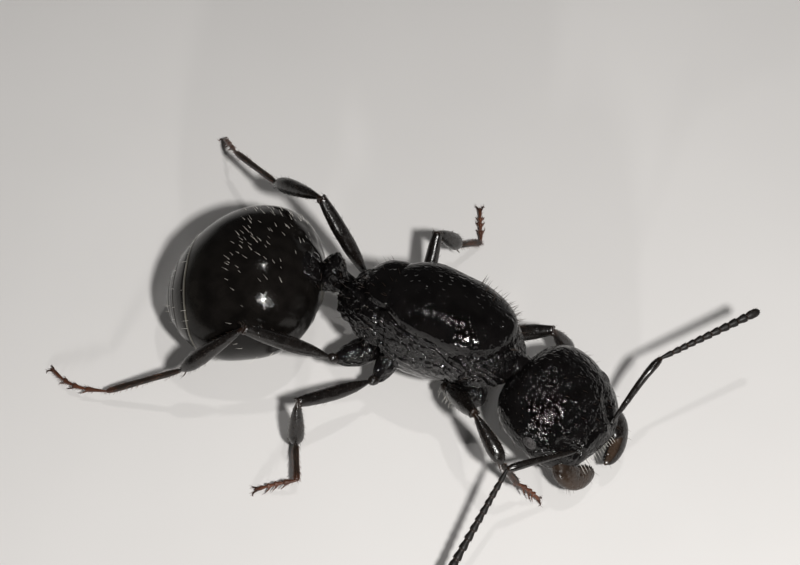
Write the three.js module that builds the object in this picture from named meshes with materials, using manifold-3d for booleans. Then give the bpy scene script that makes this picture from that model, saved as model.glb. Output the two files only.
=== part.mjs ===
// A harvester ant queen that has shed her wings, at life size, in millimetres.
// She stands on six feet: +X is the way her trunk points, +Y is her left and +Z is up.
// The origin is on the floor, under the middle of her outline.
// Every plate of her shell is one closed solid, and neighbours keep a hairline gap.
import * as THREE from 'three';
import { mergeVertices } from 'three/addons/utils/BufferGeometryUtils.js';
import Module from 'manifold-3d';

const wasm = await Module();
wasm.setup();

// ---- Driving dimensions ----
const GAP = 0.04; // clearance between neighbouring plates
const LIMB_RADIUS = 0.24; // least half thickness of a leg or feeler in these solids
const FOOT_HEIGHT = 0.2; // height of a toe's middle above the floor
const FLOOR_SIZE = 40;

const TRUNK = { middle: [0, 0, 2.6], roll: -12 };
const HEAD = { middle: [4.03, -0.51, 1.75], yaw: -21, pitch: -25 };
const HEAD_LENGTH = 3.1;
const HEAD_HALF_WIDTH = 1.62;
const PETIOLE = { middle: [-3.24, 0.34, 2.38], yaw: 8, pitch: -12 };
const POSTPETIOLE = { middle: [-3.78, -0.1, 2.8], yaw: 12, pitch: 10 };
const GASTER = { middle: [-5.5, -0.74, 1.95], yaw: 18, pitch: 18 };
const GASTER_LENGTH = 4.6;
const GASTER_CUTS = [-1.17, -1.72, -2.02]; // rear edges of the first three rings

const EYE = { place: [0.25, 1.46, 0.34], size: [0.25, 0.12, 0.175], turn: [28, -4] };
const JAW = {
  place: [1.5, 0.95, -0.05], roll: { left: -21, right: 18 }, dip: 20, thickness: 0.5, edge: 0.05,
};
const SCAPE = { root: [1.27, 0.64, 0.72], length: 2.2 };
const FUNICULUS = { length: 3.2, joints: 11 };
const ANTENNAE = {
  left: { scape: [72, 27], funiculus: [53, 1] },
  right: { scape: [-133, 11], funiculus: [-97, -20] },
};

// Lengths of femur, tibia, first toe joint and the rest of the foot.
const LEG_LENGTHS = {
  fore: [2.3, 1.58, 1.2, 0.96],
  mid: [2.55, 1.6, 1.18, 1.2],
  hind: [3.05, 2.55, 2.5, 1.94],
};
const COXA_RADII = { fore: 0.48, mid: 0.36, hind: 0.42 };
const FEMUR_RADII = { fore: 0.29, mid: 0.28, hind: 0.31 };
// Each leg: the coxa's root and tip, then [yaw, pitch] in degrees of each length.
// The last length only has a yaw: it comes down until the toe is on the floor.
const LEGS = {
  fore_right: {
    root: [2.05, -0.84, 1.3], tip: [0.84, -0.98, 1.2],
    femur: [-40, 37], tibia: [-33, -24], toe: [28, -68], foot: 14,
  },
  fore_left: {
    root: [1.9, 0.55, 1.05], tip: [0.95, 0.95, 1.05],
    femur: [19, 19], tibia: [35, -68], toe: [-37, -2], foot: -50,
  },
  mid_right: {
    root: [-0.85, -0.6, 1.45], tip: [-0.95, -1.6, 1.25],
    femur: [-127, 16], tibia: [-77, -72], toe: [-62, 4], foot: -152,
  },
  mid_left: {
    root: [-0.6, 0.35, 1.1], tip: [-0.87, 0.95, 0.8],
    femur: [99, 35], tibia: [61, -59], toe: [68, -40], foot: 115,
  },
  hind_right: {
    root: [-1.3, -0.75, 1.5], tip: [-2.15, -1.7, 1.66],
    femur: [-153, 35], tibia: [-146, -43], toe: [-156, -29], foot: 176,
  },
  hind_left: {
    root: [-1.7, 0.55, 1.4], tip: [-2.4, 1.1, 1.45],
    femur: [161, 51], tibia: [157, -34], toe: [150, -25], foot: 134,
  },
};

const COLOURS = {
  shell: { color: 0x0d0c0c, roughness: 0.22, metalness: 0 },
  limb: { color: 0x17110f, roughness: 0.32, metalness: 0 },
  toe: { color: 0x6b2c18, roughness: 0.45, metalness: 0 },
  jaw: { color: 0x3a150c, roughness: 0.3, metalness: 0 },
  eye: { color: 0x2b2a2a, roughness: 0.3, metalness: 0 },
};

const radians = THREE.MathUtils.degToRad;
const model = new THREE.Group();

// ---- Shapes ----

// A closed rounded body along X. Each row is [x, half width, rise, drop, middle Y, middle Z].
// `blunt` holds how square the back and front ends are, and `square` how boxy a section is.
function shell({ rows, blunt = [2, 2], square = 2, sides = 20, rings = 12 }, grow = 0) {
  const stations = rows.map((row) => row[0]);
  const values = rows.flatMap((row) => [row[1], row[2], row[3], row[4] ?? 0, row[5] ?? 0]);
  const curve = new THREE.CubicInterpolant(stations, values, 5);
  const back = stations[0];
  const front = stations[stations.length - 1];
  const middle = (back + front) / 2;
  const half = (front - back) / 2;
  const geometry = new THREE.SphereGeometry(1, sides, rings);
  const points = geometry.attributes.position;
  for (let i = 0; i < points.count; i += 1) {
    const along = THREE.MathUtils.clamp(points.getY(i), -1, 1);
    const around = Math.hypot(points.getX(i), points.getZ(i)) || 1;
    const side = rounded(points.getZ(i) / around, square);
    const up = rounded(points.getX(i) / around, square);
    const power = along < 0 ? blunt[0] : blunt[1];
    const taper = Math.max(0, 1 - Math.abs(along) ** power) ** (1 / power);
    const [width, rise, drop, midY, midZ] = curve.evaluate(middle + half * along);
    const height = up > 0 ? rise : drop;
    points.setXYZ(
      i,
      middle + (half + grow) * along,
      midY + (width + grow) * taper * side,
      midZ + (height + grow) * taper * up,
    );
  }
  return geometry;
}

function rounded(value, square) {
  return Math.sign(value) * Math.abs(value) ** (2 / square);
}

// A limb from the joint at the origin to the next one, `length` along X.
function limb(length, radii, { sides = 8, rings = 6, flat = 1, bow = 0 } = {}) {
  const last = radii.length - 1;
  const rows = radii.map((radius, i) => {
    const x = (length * i) / last;
    const thin = Math.max(LIMB_RADIUS, radius * flat);
    return [x, thin, radius, radius, 0, bow * Math.sin((Math.PI * i) / last)];
  });
  return (grow) => shell({ rows, blunt: [6, 6], sides, rings }, grow);
}

// A plate with a curved outline in the XY plane and rounded edges.
function plate(outline, thickness, edge, grow) {
  const depth = thickness + 2 * grow - 2 * edge;
  const geometry = new THREE.ExtrudeGeometry(outline, {
    depth,
    bevelThickness: edge,
    bevelSize: edge,
    bevelOffset: grow - edge,
    bevelSegments: 1,
    curveSegments: 5,
  });
  return geometry.translate(0, 0, -depth / 2);
}

// ---- Solids and cuts ----

function solidOf(geometry) {
  const bare = geometry.clone();
  bare.deleteAttribute('normal');
  bare.deleteAttribute('uv');
  const merged = mergeVertices(bare, 1e-4);
  const corners = [];
  const index = merged.index.array;
  for (let i = 0; i < index.length; i += 3) {
    const [a, b, c] = [index[i], index[i + 1], index[i + 2]];
    if (a !== b && b !== c && c !== a) {
      corners.push(a, b, c);
    }
  }
  const mesh = new wasm.Mesh({
    numProp: 3,
    vertProperties: Float32Array.from(merged.attributes.position.array),
    triVerts: Uint32Array.from(corners),
  });
  return new wasm.Manifold(mesh);
}

function geometryOf(solid) {
  const mesh = solid.getMesh();
  const geometry = new THREE.BufferGeometry();
  geometry.setAttribute('position', new THREE.BufferAttribute(mesh.vertProperties, 3));
  geometry.setIndex(new THREE.BufferAttribute(mesh.triVerts, 1));
  geometry.computeVertexNormals();
  return geometry;
}

const pieces = {};

// Adds a named piece. `shape(grow)` gives its geometry, larger all round by `grow`.
function addPiece(name, parent, finish, shape) {
  const mesh = new THREE.Mesh(shape(0), new THREE.MeshStandardMaterial(COLOURS[finish]));
  mesh.name = name;
  mesh.userData.shape = shape;
  parent.add(mesh);
  pieces[name] = mesh;
  return mesh;
}

function frameAt({ middle, yaw = 0, pitch = 0, roll = 0 }, parent = model) {
  const group = new THREE.Group();
  group.position.set(...middle);
  group.rotation.set(radians(roll), -radians(pitch), radians(yaw), 'ZYX');
  parent.add(group);
  return group;
}

// Cuts the hairline-larger shapes of `neighbours` out of a piece.
function clear(name, neighbours, gap = GAP) {
  const mesh = pieces[name];
  model.updateMatrixWorld(true);
  let solid = solidOf(mesh.geometry);
  for (const other of neighbours.map((neighbour) => pieces[neighbour])) {
    const place = mesh.matrixWorld.clone().invert().multiply(other.matrixWorld);
    const cutter = other.userData.shape(gap).applyMatrix4(place);
    solid = solid.subtract(solidOf(cutter));
  }
  mesh.geometry = geometryOf(solid);
}

// Cuts off what would reach below the floor, which leaves a small flat.
function trimToFloor(name) {
  const mesh = pieces[name];
  model.updateMatrixWorld(true);
  const floor = new THREE.BoxGeometry(FLOOR_SIZE, FLOOR_SIZE, FLOOR_SIZE);
  floor.translate(0, 0, -FLOOR_SIZE / 2);
  floor.applyMatrix4(mesh.matrixWorld.clone().invert());
  mesh.geometry = geometryOf(solidOf(mesh.geometry).subtract(solidOf(floor)));
}

// ---- Head ----

const headFrame = frameAt(HEAD);

function headShape(grow) {
  const half = HEAD_LENGTH / 2;
  const width = HEAD_HALF_WIDTH;
  const rows = [
    [-half, width * 0.88, 0.86, 0.8],
    [-half * 0.55, width, 0.9, 0.93],
    [0, width * 1.025, 1.03, 0.96],
    [half * 0.45, width * 0.975, 0.9, 0.84],
    [half, width * 0.81, 0.64, 0.6],
  ];
  const geometry = shell({ rows, blunt: [2.8, 4.6], square: 2, sides: 22, rings: 14 }, grow);
  const points = geometry.attributes.position;
  for (let i = 0; i < points.count; i += 1) {
    const x = points.getX(i);
    const across = points.getY(i) / width;
    const rear = Math.max(0, -x / half - 0.6);
    const front = Math.max(0, x / half - 0.6);
    const notch = 0.28 * rear * (1 - across * across);
    const lip = 0.2 * front * (1 - across * across);
    points.setX(i, x + notch + lip);
  }
  return geometry;
}

addPiece('head', headFrame, 'shell', headShape);

for (const [side, sign] of [['left', 1], ['right', -1]]) {
  const [x, y, z] = EYE.place;
  const eye = addPiece(`eye_${side}`, headFrame, 'eye', (grow) => {
    const [length, depth, height] = EYE.size;
    const ball = new THREE.SphereGeometry(1, 10, 6);
    return ball.scale(length + grow, depth + grow, height + grow);
  });
  eye.position.set(x, sign * y, z);
  const [roll, yaw] = EYE.turn;
  eye.rotation.set(sign * radians(roll), 0, sign * radians(yaw));
}

// ---- Jaws: broad bent blades, held open ----

function jawOutline(sign) {
  const outline = new THREE.Shape();
  outline.moveTo(-0.35, sign * 0.39);
  outline.quadraticCurveTo(0.3, sign * 0.6, 0.64, sign * 0.12);
  outline.quadraticCurveTo(0.9, sign * -0.24, 0.81, sign * -0.72);
  outline.lineTo(0.7, sign * -0.94);
  outline.lineTo(0.57, sign * -0.86);
  outline.lineTo(0.42, sign * -0.46);
  outline.lineTo(0.22, sign * -0.25);
  outline.lineTo(-0.35, sign * -0.33);
  outline.closePath();
  return outline;
}

for (const [side, sign] of [['left', 1], ['right', -1]]) {
  const jaw = addPiece(`mandible_${side}`, headFrame, 'jaw', (grow) => {
    return plate(jawOutline(sign), JAW.thickness, JAW.edge, grow);
  });
  const [x, y, z] = JAW.place;
  jaw.position.set(x, sign * y, z);
  jaw.rotation.set(sign * radians(JAW.roll[side]), radians(JAW.dip), 0);
}

// ---- Feelers ----

for (const [side, sign] of [['left', 1], ['right', -1]]) {
  const { scape, funiculus } = ANTENNAE[side];
  headFrame.updateMatrixWorld(true);
  const [x, y, z] = SCAPE.root;
  const root = headFrame.localToWorld(new THREE.Vector3(x, sign * y, z));
  const scapeFrame = frameAt({ middle: root.toArray(), yaw: scape[0], pitch: scape[1] });
  const scapeShape = limb(SCAPE.length, [0.24, 0.24, 0.24, 0.25, 0.26], { sides: 8 });
  addPiece(`antenna_${side}_scape`, scapeFrame, 'limb', scapeShape);
  scapeFrame.updateMatrixWorld(true);
  const elbow = scapeFrame.localToWorld(new THREE.Vector3(SCAPE.length, 0, 0));
  const whipFrame = frameAt({ middle: elbow.toArray(), yaw: funiculus[0], pitch: funiculus[1] });
  const radii = [];
  for (let joint = 0; joint <= 2 * FUNICULUS.joints; joint += 1) {
    radii.push(LIMB_RADIUS + (joint % 2 ? 0.02 : 0));
  }
  const whipShape = limb(FUNICULUS.length, radii, { sides: 6, rings: 2 * FUNICULUS.joints });
  addPiece(`antenna_${side}_funiculus`, whipFrame, 'limb', whipShape);
}

// ---- Trunk ----

const trunkFrame = frameAt(TRUNK);

const TRUNK_SHAPES = {
  mesoscutum: {
    rows: [
      [-1.35, 1.02, 0.5, 0.3, 0, 0.88],
      [-0.5, 1.34, 0.61, 0.4, 0, 0.87],
      [0.5, 1.31, 0.61, 0.5, 0, 0.77],
      [1.4, 1.25, 0.63, 0.5, 0, 0.66],
      [2.43, 1.06, 0.67, 0.4, 0, 0.55],
    ],
    blunt: [4.6, 3.4],
    square: 2.4,
    sides: 22,
    rings: 12,
  },
  scutellum: {
    rows: [
      [-2.09, 0.62, 0.29, 0.3, 0, 0.75],
      [-1.6, 0.79, 0.34, 0.4, 0, 0.84],
      [-0.9, 1.0, 0.4, 0.4, 0, 0.88],
    ],
    blunt: [2.3, 3.5],
    square: 2.4,
    sides: 14,
    rings: 7,
  },
  pronotum: {
    rows: [
      [0.7, 1.25, 0.9, 1.15, 0, -0.1],
      [1.5, 1.28, 1.0, 1.0, 0, -0.12],
      [2.1, 1.05, 0.85, 0.75, 0, -0.22],
      [2.75, 0.7, 0.5, 0.4, 0, -0.35],
    ],
    blunt: [5, 3],
    square: 2.3,
    sides: 16,
    rings: 8,
  },
  propodeum: {
    rows: [
      [-2.8, 0.36, 0.4, 0.3, 0, -0.4],
      [-2.3, 0.66, 0.82, 0.5, 0, -0.3],
      [-1.7, 0.98, 1.0, 0.95, 0, -0.2],
      [-0.9, 1.12, 1.0, 1.1, 0, -0.1],
    ],
    blunt: [2.6, 5],
    square: 2.5,
    sides: 16,
    rings: 8,
  },
  mesopleuron: {
    rows: [
      [-1.5, 1.08, 0.9, 1.3, 0, -0.05],
      [-0.6, 1.28, 1.0, 1.62, 0, -0.05],
      [0.4, 1.34, 1.0, 1.5, 0, -0.05],
      [1.5, 1.2, 0.9, 1.1, 0, -0.1],
    ],
    blunt: [4, 4],
    square: 2.4,
    sides: 18,
    rings: 8,
  },
};

for (const [name, shape] of Object.entries(TRUNK_SHAPES)) {
  addPiece(name, trunkFrame, 'shell', (grow) => shell(shape, grow));
}

// ---- Waist ----

const petioleRows = [
  [-0.38, 0.36, 0.5, 0.3],
  [-0.14, 0.48, 0.82, 0.36],
  [0.1, 0.44, 0.72, 0.36],
  [0.36, 0.3, 0.2, 0.3, 0, -0.1],
  [0.66, 0.25, 0.2, 0.24, 0, -0.2],
];
addPiece('petiole', frameAt(PETIOLE), 'shell', (grow) => {
  return shell({ rows: petioleRows, blunt: [4, 6], square: 2.3, sides: 12, rings: 9 }, grow);
});

const postpetioleRows = [
  [-0.5, 0.44, 0.4, 0.36],
  [-0.1, 0.62, 0.6, 0.5],
  [0.2, 0.52, 0.5, 0.46],
  [0.38, 0.34, 0.32, 0.34],
];
addPiece('postpetiole', frameAt(POSTPETIOLE), 'shell', (grow) => {
  return shell({ rows: postpetioleRows, blunt: [3, 3], square: 2.2, sides: 14, rings: 7 }, grow);
});

// ---- Gaster: one egg shape, parted into rings by thin cuts ----

const gasterFrame = frameAt(GASTER);
const gasterHalf = GASTER_LENGTH / 2;
const gasterRows = [
  [-gasterHalf, 1.75, 1.4, 1.35, -0.24],
  [-gasterHalf * 0.5, 2.16, 1.74, 1.7, -0.16],
  [gasterHalf * 0.05, 2.31, 1.86, 1.78, 0.04],
  [gasterHalf * 0.55, 2.38, 1.78, 1.75, 0.1],
  [gasterHalf, 2.3, 1.5, 1.6, 0.1],
];

function gasterRing(back, front, grow) {
  const whole = shell({ rows: gasterRows, blunt: [2, 2.45], sides: 22, rings: 16 }, grow);
  const slab = new THREE.BoxGeometry(front - back + 2 * grow, FLOOR_SIZE, FLOOR_SIZE);
  slab.translate((front + back) / 2, 0, 0);
  return geometryOf(solidOf(whole).intersect(solidOf(slab)));
}

const ringEdges = [gasterHalf + 1, ...GASTER_CUTS, -gasterHalf - 1];
for (let ring = 1; ring < ringEdges.length; ring += 1) {
  const front = ringEdges[ring - 1] - (ring > 1 ? GAP : 0);
  const back = ringEdges[ring];
  addPiece(`gaster_ring_${ring}`, gasterFrame, 'shell', (grow) => gasterRing(back, front, grow));
}

// ---- Legs ----

function towards([yaw, pitch], length) {
  const level = length * Math.cos(radians(pitch));
  const x = level * Math.cos(radians(yaw));
  const y = level * Math.sin(radians(yaw));
  return new THREE.Vector3(x, y, length * Math.sin(radians(pitch)));
}

function coxaShape(length, thick) {
  const rows = [
    [0, thick * 0.86, thick * 0.86, thick * 0.86],
    [length * 0.35, thick, thick, thick],
    [length * 0.75, thick * 0.8, thick * 0.8, thick * 0.8],
    [length, 0.26, 0.26, 0.26],
  ];
  return (grow) => shell({ rows, blunt: [3, 3], sides: 10, rings: 5 }, grow);
}

for (const [name, leg] of Object.entries(LEGS)) {
  const pair = name.split('_')[0];
  const lengths = LEG_LENGTHS[pair];
  const thick = FEMUR_RADII[pair];
  const root = new THREE.Vector3(...leg.root);
  const hip = new THREE.Vector3(...leg.tip);
  const reach = hip.clone().sub(root);
  const knee = hip.clone().add(towards(leg.femur, lengths[0]));
  const shin = knee.clone().add(towards(leg.tibia, lengths[1]));
  const ball = shin.clone().add(towards(leg.toe, lengths[2]));
  const coxaYaw = THREE.MathUtils.radToDeg(Math.atan2(reach.y, reach.x));
  const coxaPitch = THREE.MathUtils.radToDeg(Math.asin(reach.z / reach.length()));
  const fall = (FOOT_HEIGHT - ball.z) / lengths[3];
  const footPitch = THREE.MathUtils.radToDeg(Math.asin(THREE.MathUtils.clamp(fall, -1, 1)));
  const links = [
    ['coxa', root, [coxaYaw, coxaPitch], 'limb', coxaShape(reach.length() + 0.1, COXA_RADII[pair])],
    ['femur', hip, leg.femur, 'limb',
      limb(lengths[0], [0.24, 0.26, thick, thick * 0.95, 0.25, 0.24], { bow: 0.05 })],
    ['tibia', knee, leg.tibia, 'limb',
      limb(lengths[1], [0.24, 0.24, 0.25, 0.28, 0.26], { flat: 0.8 })],
    ['basitarsus', shin, leg.toe, 'toe',
      limb(lengths[2], [0.24, 0.24, 0.24], { sides: 7, rings: 4 })],
    ['tarsus', ball, [leg.foot, footPitch], 'toe',
      limb(lengths[3], [0.24, 0.25, 0.24, 0.25, 0.24], { sides: 7, rings: 6 })],
  ];
  for (const [part, middle, [yaw, pitch], finish, shape] of links) {
    const frame = frameAt({ middle: middle.toArray(), yaw, pitch });
    addPiece(`leg_${name}_${part}`, frame, finish, shape);
  }
}

// ---- Hairline gaps between neighbours ----

clear('head', ['eye_left', 'eye_right', 'mandible_left', 'mandible_right']);
clear('antenna_left_scape', ['head']);
clear('antenna_right_scape', ['head']);
clear('antenna_left_funiculus', ['antenna_left_scape']);
clear('antenna_right_funiculus', ['antenna_right_scape']);
clear('scutellum', ['mesoscutum']);
clear('pronotum', ['mesoscutum', 'head']);
clear('propodeum', ['mesoscutum', 'scutellum', 'petiole']);
clear('mesopleuron', ['mesoscutum', 'scutellum', 'pronotum', 'propodeum']);
clear('petiole', ['postpetiole']);
clear('gaster_ring_1', ['postpetiole', 'petiole']);
for (const name of Object.keys(LEGS)) {
  const leg = `leg_${name}`;
  clear(`${leg}_coxa`, ['mesopleuron', 'pronotum', 'propodeum']);
  clear(`${leg}_femur`, [`${leg}_coxa`]);
  clear(`${leg}_tibia`, [`${leg}_femur`]);
  clear(`${leg}_basitarsus`, [`${leg}_tibia`]);
  clear(`${leg}_tarsus`, [`${leg}_basitarsus`]);
  trimToFloor(`${leg}_basitarsus`);
  trimToFloor(`${leg}_tarsus`);
}

// ---- Origin: on the floor, under the middle of the whole outline ----

const outline = new THREE.Box3().setFromObject(model, true);
const centre = outline.getCenter(new THREE.Vector3());
model.position.set(-centre.x, -centre.y, -outline.min.z);

export default model;
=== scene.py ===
"""A harvester ant queen at life size, built plate by plate around her solid frame.

Sizes inside the builders are millimetres in the ant's own axes: +X along her trunk,
+Y to her left, +Z up from the floor. They turn into Blender's metres where a mesh, a
lamp or the camera is placed.
"""

import math
from functools import lru_cache

import bpy
import numpy as np
from bpy.props import FloatProperty, FloatVectorProperty, PointerProperty
from mathutils import Matrix, Vector


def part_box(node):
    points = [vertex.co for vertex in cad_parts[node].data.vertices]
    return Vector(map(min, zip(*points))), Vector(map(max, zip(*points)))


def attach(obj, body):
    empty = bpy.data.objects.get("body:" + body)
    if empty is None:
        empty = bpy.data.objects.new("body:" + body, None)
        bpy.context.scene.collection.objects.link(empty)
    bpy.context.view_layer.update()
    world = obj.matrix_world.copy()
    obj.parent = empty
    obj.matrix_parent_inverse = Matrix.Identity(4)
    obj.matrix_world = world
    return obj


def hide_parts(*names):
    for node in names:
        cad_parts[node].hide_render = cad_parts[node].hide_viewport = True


bl_info = {
    "name": "Harvester Ant Queen",
    "version": (1, 0, 0),
    "blender": (4, 5, 0),
    "location": "View3D > Sidebar > Ant",
    "description": "Builds the shell plates, limbs, hairs and stage of a life-size ant queen",
    "category": "Object",
}

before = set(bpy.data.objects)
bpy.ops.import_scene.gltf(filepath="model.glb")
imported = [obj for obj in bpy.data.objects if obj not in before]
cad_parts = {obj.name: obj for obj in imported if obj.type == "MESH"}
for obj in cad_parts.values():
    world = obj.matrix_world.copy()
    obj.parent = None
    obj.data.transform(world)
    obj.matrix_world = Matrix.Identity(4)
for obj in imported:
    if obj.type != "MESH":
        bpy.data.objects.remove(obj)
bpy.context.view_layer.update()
MM = 0.001

# ---- Driving sizes, the same as the solid frame's ----

TRUNK = {"middle": (0, 0, 2.6), "roll": -12}
HEAD = {"middle": (4.03, -0.51, 1.75), "yaw": -21, "pitch": -25}
HEAD_HALF_LENGTH = 1.55
HEAD_HALF_WIDTH = 1.62
PETIOLE = {"middle": (-3.24, 0.34, 2.38), "yaw": 8, "pitch": -12}
POSTPETIOLE = {"middle": (-3.78, -0.1, 2.8), "yaw": 12, "pitch": 10}
GASTER = {"middle": (-5.5, -0.74, 1.95), "yaw": 18, "pitch": 18}
GASTER_HALF = 2.3
GASTER_EDGES = (-1.17, -1.72, -2.02)
EYE_PLACE = (0.25, 1.46, 0.34)
EYE_SIZE = (0.25, 0.12, 0.175)
EYE_TURN = (28, -4)
JAW_PLACE = (1.5, 0.95, -0.05)
JAW_ROLLS = {"left": -21, "right": 18}
JAW_DIP = 20
SCAPE_ROOT = (1.27, 0.64, 0.72)
SCAPE_LENGTH = 2.2
WHIP_LENGTH = 3.2
FEELERS = {
    "left": {"scape": (72, 27), "whip": (53, 1), "bow": 0.15},
    "right": {"scape": (-133, 11), "whip": (-97, -20), "bow": 0.05},
}
LEG_LENGTHS = {
    "fore": (2.3, 1.58, 1.2, 0.96),
    "mid": (2.55, 1.6, 1.18, 1.2),
    "hind": (3.05, 2.55, 2.5, 1.94),
}
COXA_RADII = {"fore": 0.48, "mid": 0.36, "hind": 0.42}
FEMUR_RADII = {"fore": 0.24, "mid": 0.21, "hind": 0.225}
FEMUR_BOWS = {"fore": 0.01, "mid": -0.07, "hind": -0.01}
TIBIA_RADII = {"fore": 0.235, "mid": 0.24, "hind": 0.24}
LEGS = {
    "fore_right": {
        "root": (2.05, -0.84, 1.3), "tip": (0.84, -0.98, 1.2),
        "femur": (-40, 37), "tibia": (-33, -24), "toe": (28, -68), "foot": 14,
    },
    "fore_left": {
        "root": (1.9, 0.55, 1.05), "tip": (0.95, 0.95, 1.05),
        "femur": (19, 19), "tibia": (35, -68), "toe": (-37, -2), "foot": -50,
    },
    "mid_right": {
        "root": (-0.85, -0.6, 1.45), "tip": (-0.95, -1.6, 1.25),
        "femur": (-127, 16), "tibia": (-77, -72), "toe": (-62, 4), "foot": -152,
    },
    "mid_left": {
        "root": (-0.6, 0.35, 1.1), "tip": (-0.87, 0.95, 0.8),
        "femur": (99, 35), "tibia": (61, -59), "toe": (68, -40), "foot": 115,
    },
    "hind_right": {
        "root": (-1.3, -0.75, 1.5), "tip": (-2.15, -1.7, 1.66),
        "femur": (-153, 35), "tibia": (-146, -43), "toe": (-156, -29), "foot": 176,
        "curl": 0.24,
    },
    "hind_left": {
        "root": (-1.7, 0.55, 1.4), "tip": (-2.4, 1.1, 1.45),
        "femur": (161, 51), "tibia": (157, -34), "toe": (150, -25), "foot": 134,
    },
}
FEELER_SEEDS = {"left": 40, "right": 60}
LEG_SEED, LEG_SEED_STEP = 100, 20
TOE_HEIGHT = 0.1  # height of the last toe joint's middle above the floor
TOE_CLEARANCE = 0.03  # how much higher the ankle of the first toe joint is, at least
FLOOR_CLEARANCE = 0.03  # points lower than this are pressed up above the floor
SIDES = (("left", 1), ("right", -1))
FAR = 9.0  # farther than anything on the ant


# ---- Settings ----


def colour(name, description, value):
    return FloatVectorProperty(
        name=name, description=description, default=value, subtype="COLOR", size=3, min=0, max=1
    )


class AntLooks(bpy.types.PropertyGroup):
    """Colours and fine sizes of the ant."""

    shell_colour: colour("Shell", "Black of the head and trunk", (0.0035, 0.003, 0.003))
    gaster_colour: colour("Gaster", "Black of the rear rings", (0.0055, 0.0047, 0.0042))
    belly_colour: colour("Belly", "Grey brown of the belly and the rims", (0.16, 0.15, 0.125))
    limb_colour: colour("Limb", "Black brown of the legs and feelers", (0.0055, 0.0042, 0.0036))
    joint_colour: colour("Joint", "Dark red brown of the knees and ankles", (0.03, 0.013, 0.007))
    toe_colour: colour("Toe", "Dark brown of the long first toe joints", (0.016, 0.0105, 0.0075))
    foot_colour: colour("Foot", "Orange brown of the feet", (0.09, 0.03, 0.014))
    jaw_colour: colour("Jaw", "Brown of the jaws beside their teeth", (0.052, 0.033, 0.022))
    eye_colour: colour("Eye", "Grey of the eyes", (0.07, 0.065, 0.065))
    pale_hair: colour("Pale hair", "Pale straw of the rear and mouth hairs", (0.86, 0.83, 0.77))
    dark_hair: colour("Dark hair", "Brown of the hairs elsewhere", (0.04, 0.023, 0.014))
    spine_colour: colour("Spine", "Amber of the spines and claws", (0.12, 0.04, 0.017))
    hair_radius: FloatProperty(
        name="Hair thickness", description="Half thickness of a hair at its root",
        default=0.0055 * MM, min=0.002 * MM, max=0.05 * MM, unit="LENGTH",
    )
    wrinkle_height: FloatProperty(
        name="Wrinkle height", description="Height of the ridges on the rear of the trunk",
        default=0.06 * MM, min=0, max=0.1 * MM, unit="LENGTH",
    )
    line_height: FloatProperty(
        name="Line height", description="Height of the fine lines on the head",
        default=0.0015 * MM, min=0, max=0.05 * MM, unit="LENGTH",
    )


class AntStage(bpy.types.PropertyGroup):
    """Floor, lights and camera."""

    floor_colour: colour("Floor", "Pale floor", (0.76, 0.745, 0.735))
    key_power: FloatProperty(name="Key light", description="Power of the small bright lamp",
                             default=0.044, min=0, unit="POWER")
    fill_power: FloatProperty(name="Soft light", description="Power of the large soft lamps",
                              default=0.0022, min=0, unit="POWER")
    surround: FloatProperty(name="Surround", description="Brightness of the room around",
                            default=0.036, min=0, max=2)
    lens: FloatProperty(name="Lens", description="Focal length of the camera, in millimetres",
                        default=100, min=20, max=300)


# ---- Frames and meshes ----


def place(middle, yaw=0, pitch=0, roll=0):
    """A frame in the ant's axes: rolled, pitched up and then turned to her left, in degrees."""
    return (
        Matrix.Translation(middle)
        @ Matrix.Rotation(math.radians(yaw), 4, "Z")
        @ Matrix.Rotation(-math.radians(pitch), 4, "Y")
        @ Matrix.Rotation(math.radians(roll), 4, "X")
    )


def frame_shift():
    """The move from the ant's own axes to the frame's, found from the middle between her eyes."""
    corners = [Vector(c) for side in ("left", "right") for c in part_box(f"eye_{side}")]
    seen = sum(corners, Vector()) / len(corners) / MM
    return seen - place(**HEAD) @ Vector((EYE_PLACE[0], 0, EYE_PLACE[2]))


SHIFT = frame_shift()


def normals_of(points, faces):
    """Unit vertex normals of a mesh given as points and lists of faces."""
    total = np.zeros_like(points)
    for group in faces:
        a, b, c, d = (points[group[:, i]] for i in (0, 1, 2, -1))
        cross = np.cross(c - a, d - b) if group.shape[1] == 4 else np.cross(b - a, c - a)
        for column in range(group.shape[1]):
            for axis in range(3):
                total[:, axis] += np.bincount(
                    group[:, column], cross[:, axis], minlength=len(points)
                )
    return total / np.maximum(np.linalg.norm(total, axis=1, keepdims=True), 1e-12)


def outward(points, faces):
    """The same faces, turned so that they look out of the closed shape."""
    volume = 0.0
    for group in faces:
        for i in range(1, group.shape[1] - 1):
            a, b, c = points[group[:, 0]], points[group[:, i]], points[group[:, i + 1]]
            volume += float((a * np.cross(b, c)).sum())
    return faces if volume > 0 else [group[:, ::-1] for group in faces]


def joined(parts):
    """One mesh from several, each given as (points, faces, tone)."""
    points, tones, faces, start = [], [], [], 0
    for part_points, part_faces, tone in parts:
        points.append(part_points)
        tones.append(np.broadcast_to(tone, len(part_points)))
        faces += [group + start for group in outward(part_points, part_faces)]
        start += len(part_points)
    return np.concatenate(points), faces, np.concatenate(tones)


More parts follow.
